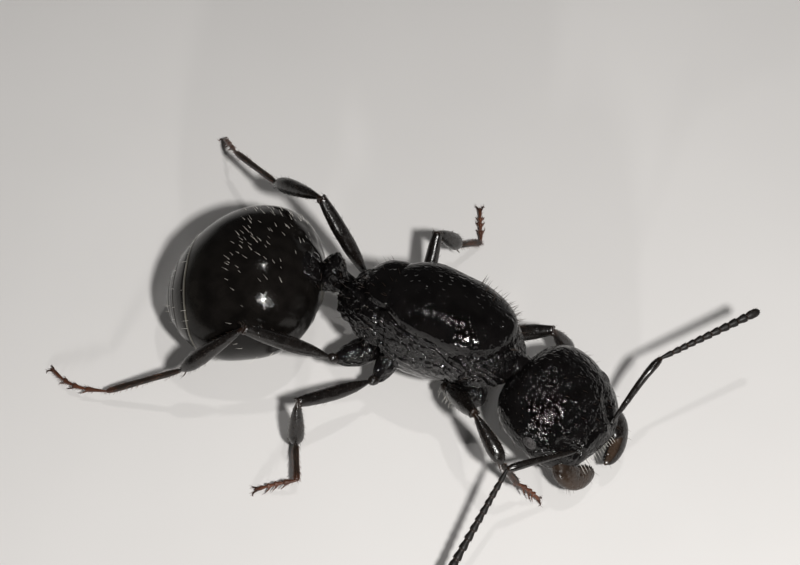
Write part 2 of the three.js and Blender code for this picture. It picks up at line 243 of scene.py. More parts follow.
def add_mesh(name, points, faces, tone=None):
    """A smooth-shaded mesh object from points in metres."""
    mesh = bpy.data.meshes.new(name)
    totals = np.concatenate([np.full(len(g), g.shape[1]) for g in faces])
    corners = np.concatenate([g.ravel() for g in faces])
    mesh.vertices.add(len(points))
    mesh.vertices.foreach_set("co", np.ascontiguousarray(points, np.float32).ravel())
    mesh.loops.add(len(corners))
    mesh.loops.foreach_set("vertex_index", corners.astype(np.int32))
    mesh.polygons.add(len(totals))
    mesh.polygons.foreach_set("loop_start", (np.cumsum(totals) - totals).astype(np.int32))
    mesh.polygons.foreach_set("use_smooth", np.ones(len(totals), bool))
    mesh.update(calc_edges=True)
    if tone is not None:
        layer = mesh.attributes.new("tone", "FLOAT", "POINT")
        layer.data.foreach_set("value", np.ascontiguousarray(tone, np.float32))
    piece = bpy.data.objects.new(name, mesh)
    bpy.context.collection.objects.link(piece)
    return piece


def add_piece(name, shape, spot, skin, nodes=(), grounded=False):
    """A piece of the ant from (points, faces, tone) in millimetres, in the frame `spot`."""
    points, faces, tone = shape
    if grounded:
        points = moved(above_floor(moved(points, spot)), spot.inverted())
    tone = np.broadcast_to(tone, len(points))
    piece = add_mesh(name, points * MM, outward(points, faces), tone)
    where = spot.copy()
    where.translation = (spot.translation + SHIFT) * MM
    piece.matrix_world = where
    piece.data.materials.append(skin)
    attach(piece, "root")
    if nodes:
        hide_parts(*nodes)
    return piece


# ---- Noise ----


HASH_TOP = 0xFFFFFFFF
HASH_SEED = 0x9E3779B1
HASH_AXES = (0x8DA6B343, 0xD8163841, 0xCB1AB31F)  # large odd numbers, one for each axis
HASH_ROUNDS = ((15, 0x2C1B3C6D), (12, 0x297A2D39), (15, 1))  # shift, then multiply
NOISE_GAIN = 1.6


def scrambled(cell, seed):
    """A repeatable number from 0 to 1 for each whole-number place."""
    h = np.uint32((seed * HASH_SEED) & HASH_TOP)
    for axis, factor in enumerate(HASH_AXES):
        h = h ^ cell[..., axis].astype(np.uint32) * np.uint32(factor)
    for shift, factor in HASH_ROUNDS:
        h ^= h >> np.uint32(shift)
        h *= np.uint32(factor)
    return h / float(HASH_TOP)


def noise(points, size, seed=0):
    """Smooth noise from about -1 to 1, with bumps about `size` across."""
    at = points / size
    cell = np.floor(at).astype(np.int64)
    part = at - cell
    ease = part * part * part * (part * (part * 6 - 15) + 10)
    total = np.zeros(len(points))
    for corner in np.ndindex(2, 2, 2):
        step = np.array(corner)
        weight = np.prod(np.where(step, ease, 1 - ease), axis=1)
        for axis in range(3):
            slope = 2 * scrambled(cell + step, seed * 3 + axis) - 1
            total += weight * slope * (part[:, axis] - step[axis])
    return total * NOISE_GAIN


def cells(points, size, seed=0):
    """Distances to the nearest and the next of scattered seeds about `size` apart."""
    at = points / size
    base = np.floor(at).astype(np.int64)
    first = np.full(len(points), FAR)
    second = first.copy()
    for offset in np.ndindex(3, 3, 3):
        cell = base + np.array(offset) - 1
        seeds = cell + np.stack([scrambled(cell, seed * 3 + axis) for axis in range(3)], 1)
        apart = np.linalg.norm(at - seeds, axis=1)
        second = np.minimum(second, np.maximum(first, apart))
        first = np.minimum(first, apart)
    return first * size, second * size


def smooth(value, low, high):
    """0 below `low`, 1 above `high` and an S curve between them."""
    t = np.clip((value - low) / (high - low), 0, 1)
    return t * t * (3 - 2 * t)


def wrinkles(points, across, size, seed=0, sharp=1.4, wander=0.45):
    """Long wavy ridges, from 0 to 1, that run square to `across`."""
    drift = 1.5 * size * noise(points, size * 6, seed)
    drift += wander * size * noise(points, size * 2.2, seed + 1)
    phase = (points @ np.asarray(across) + drift) / size
    return (0.5 + 0.5 * np.cos(2 * math.pi * phase)) ** sharp


def net(points, size, seed=0):
    """Raised walls, from 0 to 1, between cells about `size` across."""
    first, second = cells(points, size, seed)
    return 1 - smooth(second - first, 0, size * 0.38)


def pits(points, size, radius, seed=0):
    """Round pits, from 0 to -1, scattered about `size` apart."""
    first, _ = cells(points, size, seed)
    return -(1 - smooth(first, radius * 0.3, radius))


def near_path(points, path, width):
    """1 on a path and falling to 0 about `width` away from it, in the path's own axes."""
    best = np.full(len(points), FAR)
    flat = points[:, : len(path[0])]
    for start, end in zip(np.array(path[:-1], float), np.array(path[1:], float)):
        run = end - start
        along = np.clip((flat - start) @ run / (run @ run), 0, 1)
        best = np.minimum(best, np.linalg.norm(flat - start - along[:, None] * run, axis=1))
    return np.exp(-((best / width) ** 2))


# ---- Rounded bodies ----


@lru_cache(maxsize=None)
def ball(count):
    """Directions evenly over a ball, and the square faces that join them."""
    steps = np.tan(np.linspace(-1, 1, count + 1) * math.pi / 4)
    a, b = np.meshgrid(steps, steps, indexing="ij")
    sides, faces = [], []
    index = np.arange((count + 1) ** 2).reshape(count + 1, count + 1)
    quads = np.stack([index[:-1, :-1], index[1:, :-1], index[1:, 1:], index[:-1, 1:]], -1)
    for axis in range(3):
        for sign in (1, -1):
            grid = np.empty((count + 1, count + 1, 3))
            grid[..., axis] = sign
            grid[..., (axis + 1) % 3] = a * sign
            grid[..., (axis + 2) % 3] = b
            faces.append(quads.reshape(-1, 4) + len(sides) * index.size)
            sides.append(grid.reshape(-1, 3))
    every = np.concatenate(sides)
    every /= np.linalg.norm(every, axis=1, keepdims=True)
    _, first, back = np.unique(
        np.round(every * 1e6).astype(np.int64), axis=0, return_index=True, return_inverse=True
    )
    return every[first], back.ravel()[np.concatenate(faces)]


def spline(table, at):
    """Rows of values at stations, joined by a smooth curve with straight ends."""
    stations, values = table[:, 0], table[:, 1:]
    last = len(stations) - 1
    at = np.clip(at, stations[0], stations[-1])
    i = np.clip(np.searchsorted(stations, at, side="right"), 1, last)
    start, end = stations[i - 1], stations[i]
    before = np.where(i == 1, i, i - 2)
    after = np.where(i == last, i - 1, i + 1)
    t_before = np.where(i == 1, end, stations[before])
    t_after = np.where(i == last, start, stations[after])
    half = (end - start) / 2
    w_before = half / (start - t_before)
    w_after = half / (t_after - end)
    p = (at - start) / (end - start)
    p2, p3 = p * p, p * p * p
    return (
        (-w_before * p3 + 2 * w_before * p2 - w_before * p)[:, None] * values[before]
        + ((1 + w_before) * p3 + (-1.5 - 2 * w_before) * p2 + (-0.5 + w_before) * p + 1)[:, None]
        * values[i - 1]
        + ((-1 - w_after) * p3 + (1.5 + w_after) * p2 + 0.5 * p)[:, None] * values[i]
        + (w_after * p3 - w_after * p2)[:, None] * values[after]
    )


def table_of(rows):
    """A table of six columns, with 0 where a row leaves its last ones out."""
    return np.array([[*row, *([0] * (6 - len(row)))] for row in rows], float)


def rounded(value, square):
    """A sine or cosine pushed towards a squarer outline."""
    return np.sign(value) * np.abs(value) ** (2 / square)


CURVE_STEPS = 400


def end_curve(latitude, blunt):
    """Place along the axis and share of the full width, evenly spaced from middle to ends."""
    turn = np.linspace(0, math.pi / 2, CURVE_STEPS)
    along, taper = np.zeros(len(latitude)), np.zeros(len(latitude))
    for power, sign in zip(blunt, (-1, 1)):
        s, r = np.sin(turn) ** (2 / power), np.cos(turn) ** (2 / power)
        walked = np.concatenate([[0], np.cumsum(np.hypot(np.diff(s), np.diff(r)))])
        walked /= walked[-1]
        here = latitude * sign >= 0
        share = np.abs(latitude[here]) * 2 / math.pi
        along[here] = sign * np.interp(share, walked, s)
        taper[here] = np.interp(share, walked, r)
    return along, taper


def shell(rows, blunt=(2, 2), square=2.0, count=60):
    """A closed rounded body along X: rows of x, half width, rise, drop, middle Y, middle Z."""
    directions, quads = ball(count)
    table = table_of(rows)
    middle = (table[0, 0] + table[-1, 0]) / 2
    half = (table[-1, 0] - table[0, 0]) / 2
    around = np.maximum(np.hypot(directions[:, 1], directions[:, 2]), 1e-9)
    along, taper = end_curve(np.arctan2(directions[:, 0], around), blunt)
    side = rounded(directions[:, 1] / around, square)
    up = rounded(directions[:, 2] / around, square)
    width, rise, drop, mid_y, mid_z = spline(table, middle + half * along).T
    points = np.stack([
        middle + half * along,
        mid_y + width * taper * side,
        mid_z + np.where(up > 0, rise, drop) * taper * up,
    ], 1)
    return points, [quads]


def raised(points, faces, height):
    """Points moved out of their surface by `height`."""
    return points + normals_of(points, outward(points, faces)) * np.reshape(height, (-1, 1))


# ---- Tubes: limbs, beads, spines and hairs ----


def tube(rings):
    """A closed skin over rings of points, with a point in the middle of each end."""
    count, sides = rings.shape[:2]
    points = np.concatenate([rings.reshape(-1, 3), rings[:1].mean(1), rings[-1:].mean(1)])
    index = np.arange(count * sides).reshape(count, sides)
    following = np.roll(index, -1, axis=1)
    quads = np.stack([index[:-1], index[1:], following[1:], following[:-1]], -1).reshape(-1, 4)
    first = np.full(sides, count * sides)
    start = np.stack([first, index[0], following[0]], 1)
    end = np.stack([first + 1, following[-1], index[-1]], 1)
    return points, [quads, start, end]


def limb(length, radii, count=40, sides=24, flat=1.0, bow=0.0, peak=0.5, start=0.0, ends=(3, 3)):
    """A limb along X. `radii` are pairs of place, from 0 to 1, and half thickness.

    It bows up by `bow`, most at the share `peak` of its length."""
    turn = np.linspace(-math.pi / 2, math.pi / 2, count + 2)[1:-1]
    along, taper = end_curve(turn, ends)
    share = (along + 1) / 2
    radius = spline(np.array(radii, float), share)[:, 0] * taper
    angle = np.arange(sides) * 2 * math.pi / sides
    rise = bow * np.sin(math.pi * share ** (math.log(0.5) / math.log(peak)))
    rings = np.stack([
        np.repeat((start + length * share)[:, None], sides, 1),
        radius[:, None] * flat * np.cos(angle),
        rise[:, None] + radius[:, None] * np.sin(angle),
    ], -1)
    return tube(rings)


def bend_tube(path, radii, sides=8):
    """A tube along a path of points, for claws, spurs and long curved hairs."""
    path = np.asarray(path, float)
    run = np.gradient(path, axis=0)
    run /= np.linalg.norm(run, axis=1, keepdims=True)
    aside = np.cross(run, np.where(np.abs(run[:, 2:]) > 0.9, [[1.0, 0, 0]], [[0, 0, 1.0]]))
    aside /= np.linalg.norm(aside, axis=1, keepdims=True)
    above = np.cross(aside, run)
    angle = np.arange(sides) * 2 * math.pi / sides
    rings = path[:, None] + np.asarray(radii)[:, None, None] * (
        aside[:, None] * np.cos(angle)[:, None] + above[:, None] * np.sin(angle)[:, None]
    )
    return tube(rings)


def moved(points, matrix):
    """Points carried by a matrix in millimetres."""
    turn = np.array(matrix.to_3x3())
    return points @ turn.T + np.array(matrix.translation)


# ---- Materials ----


SHELL_IOR = 1.56
MIX_FIRST, MIX_SECOND, MIX_OUT = 6, 7, 2  # the colour sockets of a Mix node
CLOUD_RANGE = (0.3, 0.7)  # where nearly all of a noise texture's values lie
BUMP_RANGES = {"pits": (0.12, 0.34), "net": (0.0, 0.22)}
ROUGH_PATCHES = 0.31  # size of the patches of roughness, as a share of the blotches


def material(name, base, tint, rough, bumps, blotch=0.35, blotch_size=0.5, specular=0.5):
    """A glossy horn-like finish. `tone` on the mesh carries it from base to tint.

    Each bump is (kind, size, height, stretch) in millimetres."""
    made = bpy.data.materials.new(name)
    made.use_nodes = True
    nodes, links = made.node_tree.nodes, made.node_tree.links
    surface = nodes["Principled BSDF"]
    surface.inputs["IOR"].default_value = SHELL_IOR
    surface.inputs["Specular IOR Level"].default_value = specular
    place_in = nodes.new("ShaderNodeTexCoord").outputs["Object"]

    def textured(kind, size, stretch=(1, 1, 1)):
        scale = nodes.new("ShaderNodeMapping")
        links.new(place_in, scale.inputs["Vector"])
        scale.inputs["Scale"].default_value = [1 / (size * MM * s) for s in stretch]
        if kind == "noise":
            texture = nodes.new("ShaderNodeTexNoise")
            texture.inputs["Detail"].default_value = 3
            out = texture.outputs["Fac"]
        else:
            texture = nodes.new("ShaderNodeTexVoronoi")
            texture.feature = "DISTANCE_TO_EDGE" if kind == "net" else "F1"
            out = texture.outputs["Distance"]
        texture.inputs["Scale"].default_value = 1
        links.new(scale.outputs["Vector"], texture.inputs["Vector"])
        return out

    def ranged(value, low, high, to_low, to_high):
        node = nodes.new("ShaderNodeMapRange")
        node.interpolation_type = "SMOOTHSTEP"
        links.new(value, node.inputs["Value"])
        for socket, number in zip(("From Min", "From Max", "To Min", "To Max"),
                                  (low, high, to_low, to_high)):
            node.inputs[socket].default_value = number
        return node.outputs["Result"]

    tone = nodes.new("ShaderNodeAttribute")
    tone.attribute_name = "tone"
    shade = ranged(textured("noise", blotch_size), *CLOUD_RANGE, 1 - blotch, 1 + blotch)
    mix = nodes.new("ShaderNodeMix")
    mix.data_type = "RGBA"
    mix.inputs[MIX_FIRST].default_value = (*base, 1)
    mix.inputs[MIX_SECOND].default_value = (*tint, 1)
    links.new(tone.outputs["Fac"], mix.inputs[0])
    vary = nodes.new("ShaderNodeVectorMath")
    vary.operation = "SCALE"
    links.new(mix.outputs[MIX_OUT], vary.inputs[0])
    links.new(shade, vary.inputs["Scale"])
    links.new(vary.outputs[0], surface.inputs["Base Color"])
    patches = textured("noise", blotch_size * ROUGH_PATCHES)
    links.new(ranged(patches, *CLOUD_RANGE, *rough), surface.inputs["Roughness"])
    normal = None
    for kind, size, height, stretch in bumps:
        out = textured(kind, size, stretch)
        if kind in BUMP_RANGES:
            out = ranged(out, *BUMP_RANGES[kind], 0, 1)
        bump = nodes.new("ShaderNodeBump")
        bump.inputs["Strength"].default_value = 1
        bump.inputs["Distance"].default_value = height * MM
        links.new(out, bump.inputs["Height"])
        if normal is not None:
            links.new(normal, bump.inputs["Normal"])
        normal = bump.outputs["Normal"]
    if normal is not None:
        links.new(normal, surface.inputs["Normal"])
    return made


@lru_cache(maxsize=None)
def finish(name):
    """The finish of this name, made once."""
    looks = bpy.context.scene.ant_looks
    black, limb_black = looks.shell_colour, looks.limb_colour
    even = (1, 1, 1)
    recipes = {
        "polished_shell": (black, looks.joint_colour, (0.04, 0.08), [
            ("noise", 0.13, 0.017, even), ("pits", 0.22, 0.014, even)], {"specular": 0.3}),
        "pitted_shell": (black, looks.joint_colour, (0.04, 0.08), [
            ("noise", 0.2, 0.06, even), ("pits", 0.17, 0.016, even)], {"specular": 0.28}),
        "wrinkled_shell": (black, looks.joint_colour, (0.04, 0.08), [
            ("noise", 0.2, 0.1, even)], {"specular": 0.4}),
        "satin_gaster": (looks.gaster_colour, looks.belly_colour, (0.06, 0.1), [
            ("net", 0.03, 0.0005, (1, 2, 1)), ("noise", 0.11, 0.001, even)], {"specular": 0.18}),
        "limb_shell": (limb_black, looks.joint_colour, (0.2, 0.32), [
            ("noise", 0.05, 0.005, (3, 1, 1)), ("pits", 0.08, 0.003, even)]),
        "whip_skin": (limb_black, looks.joint_colour, (0.42, 0.55), [
            ("noise", 0.03, 0.004, (2, 1, 1))], {"specular": 0.3}),
        "toe_shell": (looks.toe_colour, looks.foot_colour, (0.3, 0.45), [
            ("noise", 0.04, 0.004, (3, 1, 1))], {"specular": 0.35}),
        "foot_shell": (looks.foot_colour, looks.toe_colour, (0.3, 0.45), [
            ("noise", 0.04, 0.003, (3, 1, 1))], {"specular": 0.35}),
        "jaw_shell": (black, looks.jaw_colour, (0.16, 0.3), [
            ("noise", 0.09, 0.008, (3, 1, 1)), ("pits", 0.16, 0.007, even)], {"specular": 0.3}),
        "eye_lens": (looks.eye_colour, black, (0.35, 0.5), [("net", 0.022, 0.003, even)],
                     {"blotch": 0.6, "blotch_size": 0.06, "specular": 0.35}),
        "ocellus": (black, looks.eye_colour, (0.04, 0.06), []),
        "spine": (looks.spine_colour, black, (0.3, 0.45), [("noise", 0.03, 0.002, (4, 1, 1))]),
        "pale_hair": (looks.pale_hair, looks.spine_colour, (0.3, 0.45), []),
        "dark_hair": (looks.dark_hair, looks.spine_colour, (0.3, 0.45), []),
    }
    base, tint, rough, bumps, *rest = recipes[name]
    settings = rest[0] if rest else {}
    made = material(name, tuple(base), tuple(tint), rough, bumps, **settings)
    if name == "pale_hair":
        made.node_tree.nodes["Principled BSDF"].inputs["Transmission Weight"].default_value = 0.25
    return made


# ---- Head ----

HEAD_ROWS = [
    (-HEAD_HALF_LENGTH, HEAD_HALF_WIDTH * 0.88, 0.86, 0.8),
    (-HEAD_HALF_LENGTH * 0.55, HEAD_HALF_WIDTH, 0.9, 0.93),
    (0, HEAD_HALF_WIDTH * 1.025, 1.03, 0.96),
    (HEAD_HALF_LENGTH * 0.45, HEAD_HALF_WIDTH * 0.975, 0.9, 0.84),
    (HEAD_HALF_LENGTH, HEAD_HALF_WIDTH * 0.81, 0.64, 0.6),
]


EYE_RIM = (0.305, 0.28, 0.225)


def head_shape(looks):
    """The head capsule with its clypeus, frontal ridges and feeler sockets."""
    points, faces = shell(HEAD_ROWS, (2.8, 4.6), 2, 130)
    across = points[:, 1] / HEAD_HALF_WIDTH
    hollow = 1 - across * across
    rear = np.maximum(0, -points[:, 0] / HEAD_HALF_LENGTH - 0.6)
    front = np.maximum(0, points[:, 0] / HEAD_HALF_LENGTH - 0.6)
    points[:, 0] += (0.28 * rear + 0.2 * front) * hollow
    x, y, z = points.T
    top = smooth(z, 0.0, 0.35)
    mirrored = np.stack([x, np.abs(y), z], 1)
    lengthwise = np.stack([0.12 * x, np.arctan2(y, z + 0.5) * 1.35, 0 * z], 1)
    height = looks.line_height / MM * wrinkles(lengthwise + 0.02 * points, (0, 1, 0), 0.085, 3)
    height += 0.003 * pits(points, 0.17, 0.045, 5) + 0.02 * noise(points, 0.9, 7)
    height += 0.006 * noise(points, 0.13, 8) + 0.0035 * noise(points, 0.07, 9)
    # The frontal line, the ridges beside the clypeus and the lobes over the feeler sockets.
    height -= 0.03 * top * near_path(mirrored, [(0.2, 0), (1.1, 0)], 0.035)
    ridge = near_path(mirrored, [(1.33, 0.36), (1.0, 0.38), (0.62, 0.52), (0.3, 0.68)], 0.07)
    lobe = near_path(mirrored, [(1.3, 0.4), (1.12, 0.42)], 0.12)
    socket = near_path(mirrored, [(1.28, 0.7), (1.1, 0.74), (0.8, 0.9)], 0.14)
    height += top * (0.022 * ridge + 0.05 * lobe - 0.08 * socket)
    clypeus = top * smooth(x, 1.12, 1.3) * (1 - smooth(np.abs(y), 0.7, 1.05))
    seam = near_path(mirrored, [(1.1, 0), (1.22, 0.3), (1.5, 0.8), (1.52, 1.05)], 0.035)
    height += 0.04 * clypeus - 0.015 * top * seam
    # A rim round each eye, a seam under the chin and a fold from cheek to jaw.
    eye = np.linalg.norm((mirrored - EYE_PLACE) / EYE_RIM, axis=1)
    height -= 0.008 * np.exp(-(((eye - 1) / 0.14) ** 2))
    under = smooth(-z, 0.1, 0.4)
    height -= 0.04 * under * near_path(mirrored, [(-1.2, 0), (1.3, 0)], 0.05)
    height += 0.03 * under * near_path(mirrored, [(-0.9, 0.5), (0.6, 0.62), (1.4, 0.9)], 0.06)
    tone = 0.5 * smooth(x, 1.62, 1.85) * (1 - smooth(np.abs(y), 0.8, 1.3))
    return raised(points, faces, height), faces, tone


OCELLI = ((-0.62, 0.0), (-0.86, 0.21), (-0.86, -0.21))


def ocelli_shape():
    """Three small clear beads on the crown."""
    beads = []
    for x, y in OCELLI:
        points, faces = shell([(-0.08, 0.08, 0.06, 0.05), (0.08, 0.08, 0.06, 0.05)], count=12)
        rise = 0.945 - 0.07 * (x + 0.3) ** 2 - 0.14 * y * y
        beads.append((points + (x, y, rise), faces, 0.0))
    return joined(beads)


FACET_SIZE, FACET_GAP, FACET_RISE = 0.034, 0.014, 0.006


def eye_shape():
    """A low dome of small six-sided facets."""
    points, faces = shell([(-1, 1, 1, 1), (0, 1, 1, 1), (1, 1, 1, 1)], count=44)
    points = points / np.linalg.norm(points, axis=1, keepdims=True)
    first, second = cells(points * EYE_SIZE, FACET_SIZE, 2)
    facets = smooth(second - first, 0, FACET_GAP)
    grown = points * (np.array(EYE_SIZE) * 0.985) + points * (facets * FACET_RISE)[:, None]
    return grown, faces, 0.5 * (1 - facets)


JAW_OUTER = [  # share of the length, then X and Y
    (0, -0.35, 0.41), (0.2, 0, 0.49), (0.42, 0.36, 0.38), (0.6, 0.64, 0.11), (0.76, 0.8, -0.27),
    (0.9, 0.81, -0.67), (1, 0.7, -0.93),
]
JAW_INNER = [
    (0, -0.35, -0.31), (0.2, -0.05, -0.27), (0.4, 0.17, -0.35), (0.55, 0.25, -0.54),
    (0.75, 0.38, -0.77), (0.9, 0.53, -0.92), (1, 0.66, -0.97),
]
JAW_THICKNESS = [(0, 0.25), (0.25, 0.25), (0.5, 0.22), (0.8, 0.16), (1, 0.06)]
TEETH = 8
BITE = 0.46  # where the teeth start, as a share of the jaw's length
# Paleness of each jaw: its own brown plus painted shade, which makes the left jaw darker than the
# right as if it lay in shadow.
JAW_BROWN_AND_PAINTED_SHADE = {"left": 0.05, "right": 0.6}


def jaw_shape(sign, brown):
    """A broad bent blade with a row of teeth along its inner edge; `brown` is its paleness, with
    painted shade in it: low for the left jaw, painted dark as if in shadow.
    """
    count, sides = 110, 56
    t = np.linspace(0, 1, count)
    outer = spline(np.array(JAW_OUTER, float), t)
    inner = spline(np.array(JAW_INNER, float), t)
    thick = spline(np.array(JAW_THICKNESS, float), t)[:, 0]
    bite = smooth(t, 0.42, 0.5)
    back = inner - outer
    back /= np.maximum(np.linalg.norm(back, axis=1, keepdims=True), 1e-6)
    tooth = 1 - np.abs(((t - BITE) / (1 - BITE) * TEETH) % 1 - 0.5) * 2
    tip = np.maximum(0, (t - 0.93) / 0.07)
    cap = np.sqrt(np.maximum(0, 1 - tip ** 2)) * 0.94 + 0.06
    angle = np.arange(sides) * 2 * math.pi / sides
    across = np.cos(angle)
    edge = (1 - across) / 2
    lean = 1 - bite[:, None] * 0.66 * smooth(edge, 0.5, 1)  # the blade is thin where it bites
    middle, spread = (outer + inner) / 2, (outer - inner) / 2
    rings = np.empty((count, sides, 3))
    rings[..., :2] = middle[:, None] + spread[:, None] * across[:, None] * cap[:, None, None]
    rings[..., 2] = thick[:, None] * rounded(np.sin(angle), 2.4) * lean * cap[:, None]
    rings[..., 2] -= 0.05 * (t ** 2)[:, None]
    biting = bite[:, None] * smooth(edge, 0.75, 1) * (0.07 * tooth - 0.03)[:, None]
    rings[..., :2] += back[:, None] * biting[..., None]
    points, faces = tube(rings)
    beside = smooth(edge, 0.45, 0.7) * (1 - smooth(edge, 0.85, 0.97))
    orange = np.concatenate([(bite[:, None] * beside).ravel(), [0, 0]])
    dark = np.concatenate([(bite[:, None] * smooth(edge, 0.86, 0.97)).ravel(), [0, 1]])
    points[:, 1] *= sign
    height = 0.006 * noise(points, 0.12, 21) + 0.008 * pits(points, 0.2, 0.035, 22)
    # Painted shade: a low `brown` darkens the whole blade, so the left jaw reads as shaded.
    tone = (brown + (0.75 - brown) * orange) * (1 - 0.7 * dark)
    tone *= 0.75 + 0.25 * smooth(points[:, 0], -0.1, 0.5)
    return raised(points, faces, height), faces, tone


# ---- Trunk ----

RIDGE_ACROSS = (0.336, 0.745, 0.576)  # the trunk's ridges run forward and down along its sides

TRUNK_ROWS = {
    "mesoscutum": ([
        (-1.55, 1.0, 0.5, 0.8, 0, 0.87), (-0.5, 1.34, 0.61, 1.0, 0, 0.87),
        (0.5, 1.31, 0.61, 1.0, 0, 0.77), (1.4, 1.25, 0.63, 0.9, 0, 0.66),
        (2.43, 1.06, 0.67, 0.6, 0, 0.55)], (3.2, 2.7), 2.2, 130),
    "scutellum": ([
        (-2.09, 0.62, 0.29, 0.3, 0, 0.75), (-1.6, 0.79, 0.34, 0.4, 0, 0.84),
        (-0.9, 1.0, 0.4, 0.4, 0, 0.88)], (2.3, 3.5), 2.4, 70),
    "pronotum": ([
        (0.7, 1.25, 0.9, 1.15, 0, -0.1), (1.5, 1.28, 1.0, 1.0, 0, -0.12),
        (2.1, 1.05, 0.85, 0.75, 0, -0.22), (2.75, 0.7, 0.5, 0.4, 0, -0.35)], (5, 3), 2.3, 120),
    "propodeum": ([
        (-2.8, 0.36, 0.4, 0.3, 0, -0.4), (-2.3, 0.66, 0.82, 0.5, 0, -0.3),
        (-1.7, 0.98, 1.0, 0.95, 0, -0.2), (-0.9, 1.12, 1.0, 1.1, 0, -0.1)], (2.6, 5), 2.5, 140),
    "mesopleuron": ([
        (-1.5, 1.08, 0.9, 1.3, 0, -0.05), (-0.6, 1.28, 1.0, 1.62, 0, -0.05),
        (0.4, 1.34, 1.0, 1.5, 0, -0.05), (1.5, 1.2, 0.9, 1.1, 0, -0.1)], (4, 4), 2.4, 140),
}


def rugae(points, across, size, seed):
    """Wavy ridges that join into a net, from 0 to about 1."""
    long_ones = wrinkles(points, across, size, seed, 2.4, 0.8)
    cross_ones = net(points, size * 1.35, seed + 1)
    return 0.65 * long_ones + 0.5 * cross_ones


def trunk_shape(name, looks):
    """A trunk plate with its own seams, ridges and pits."""
    rows, blunt, square, count = TRUNK_ROWS[name]
    points, faces = shell(rows, blunt, square, count)
    x, y, z = points.T
    mirrored = np.stack([x, -np.abs(y), z], 1)
    side_view = mirrored[:, [0, 2]]
    ridge = looks.wrinkle_height / MM
    if name == "mesoscutum":
        height = 0.006 * pits(points, 0.17, 0.04, 11) + 0.008 * noise(points, 0.5, 12)
        height += 0.004 * noise(points, 0.14, 13)
        low = 1 - smooth(z, 0.35, 0.62)
        height += ridge * 0.9 * low * rugae(mirrored, RIDGE_ACROSS, 0.22, 26)
        height -= 0.07 * (1 - smooth(x, -0.9, 1.2))  # it falls away gently towards the rear
    elif name == "scutellum":
        height = 0.006 * pits(points, 0.18, 0.04, 14) + 0.008 * noise(points, 0.45, 15)
        low = 1 - smooth(z, 0.75, 0.95)
        height += 0.012 * wrinkles(mirrored, RIDGE_ACROSS, 0.1, 16) * low
    elif name == "pronotum":
        grain = rugae(mirrored, (0.2, 0.5, 0.84), 0.22, 17)
        height = ridge * 0.75 * grain * smooth(np.abs(y), 0.2, 0.6) + 0.02 * noise(points, 0.6, 19)
    elif name == "propodeum":
        grain = rugae(mirrored, RIDGE_ACROSS, 0.23, 23)
        height = ridge * grain + 0.02 * noise(points, 0.5, 25)
        corner = near_path(np.abs(points)[:, 1:], [(0.42, 0.42), (0.5, 0.5)], 0.14)
        height += 0.1 * corner * smooth(-x, 2.0, 2.4)
        spiracle = np.linalg.norm(mirrored - (-1.95, -0.93, 0.02), axis=1)
        height += 0.03 * np.exp(-(((spiracle - 0.09) / 0.035) ** 2))
        height -= 0.08 * np.exp(-((spiracle / 0.06) ** 2))
    else:
        grain = rugae(mirrored, RIDGE_ACROSS, 0.22, 26)
        ribbed = smooth(z, -0.7, -0.45)
        height = ridge * 0.9 * grain * (0.12 + 0.88 * ribbed) + 0.014 * noise(points, 0.5, 28)
        groove = [(-1.1, -0.25), (-0.55, -0.42), (0.1, -0.3), (0.6, -0.05)]
        height -= 0.03 * near_path(side_view, groove, 0.03)
        height -= 0.05 * near_path(side_view, [(-1.0, 0.55), (-0.98, -1.2)], 0.04)
        height += 0.13 * np.exp(-(((z - 0.54) / 0.2) ** 2)) * smooth(np.abs(y), 0.6, 0.9)
    return raised(points, faces, height), faces, 0.0


def neck_shape():
    """The short throat between the trunk and the head."""
    spot = place(**TRUNK)
    start = spot @ Vector((2.2, 0, -0.4))
    end = place(**HEAD) @ Vector((-1.1, 0, -0.15))
    path = [start.lerp(end, t) for t in np.linspace(0, 1, 24)]
    folds = 0.45 + 0.02 * np.cos(np.linspace(0, 1, 24) * 12 * math.pi)
    points, faces = bend_tube(path, folds, 32)
    return points, faces, 0.0


# ---- Waist ----

PETIOLE_ROWS = [
    (-0.38, 0.36, 0.5, 0.3), (-0.14, 0.48, 0.82, 0.36), (0.1, 0.44, 0.72, 0.36),
    (0.36, 0.3, 0.2, 0.3, 0, -0.1), (0.66, 0.25, 0.2, 0.24, 0, -0.2),
]
POSTPETIOLE_ROWS = [
    (-0.5, 0.44, 0.4, 0.36), (-0.1, 0.62, 0.6, 0.5), (0.2, 0.52, 0.5, 0.46),
    (0.38, 0.34, 0.32, 0.34),
]


def waist_shape(rows, blunt, square, seed, looks):
    """A knot of the waist, wrinkled all round."""
    points, faces = shell(rows, blunt, square, 72)
    ridge = looks.wrinkle_height / MM
    height = ridge * 0.8 * rugae(points, (0.4, 0.75, 0.3), 0.21, seed)
    height += 0.02 * noise(points, 0.35, seed + 4)
    tone = 0.4 * smooth(-points[:, 2], 0.1, 0.4)
    return raised(points, faces, height), faces, tone


# ---- Gaster ----

GASTER_ROWS = [
    (-GASTER_HALF, 1.75, 1.4, 1.35, -0.24), (-GASTER_HALF * 0.5, 2.16, 1.74, 1.7, -0.16),
    (GASTER_HALF * 0.05, 2.31, 1.86, 1.78, 0.04), (GASTER_HALF * 0.55, 2.38, 1.78, 1.75, 0.1),
    (GASTER_HALF, 2.3, 1.5, 1.6, 0.1),
]
GASTER_BLUNT = (2, 2.45)
BELLY_ANGLE = math.radians(-48)
RING_COUNTS = (150, 36, 36, 60)  # rows of points along each ring
RING_SIDES = 260
OVERLAP = 0.16  # how far a ring reaches under the one before it
LIP_STEPS = (0.0, 0.01, 0.04, 0.09, 0.15)  # the rear rim, turning in under itself
LIP_INSETS = (0.008, 0.018, 0.028, 0.034, 0.09)


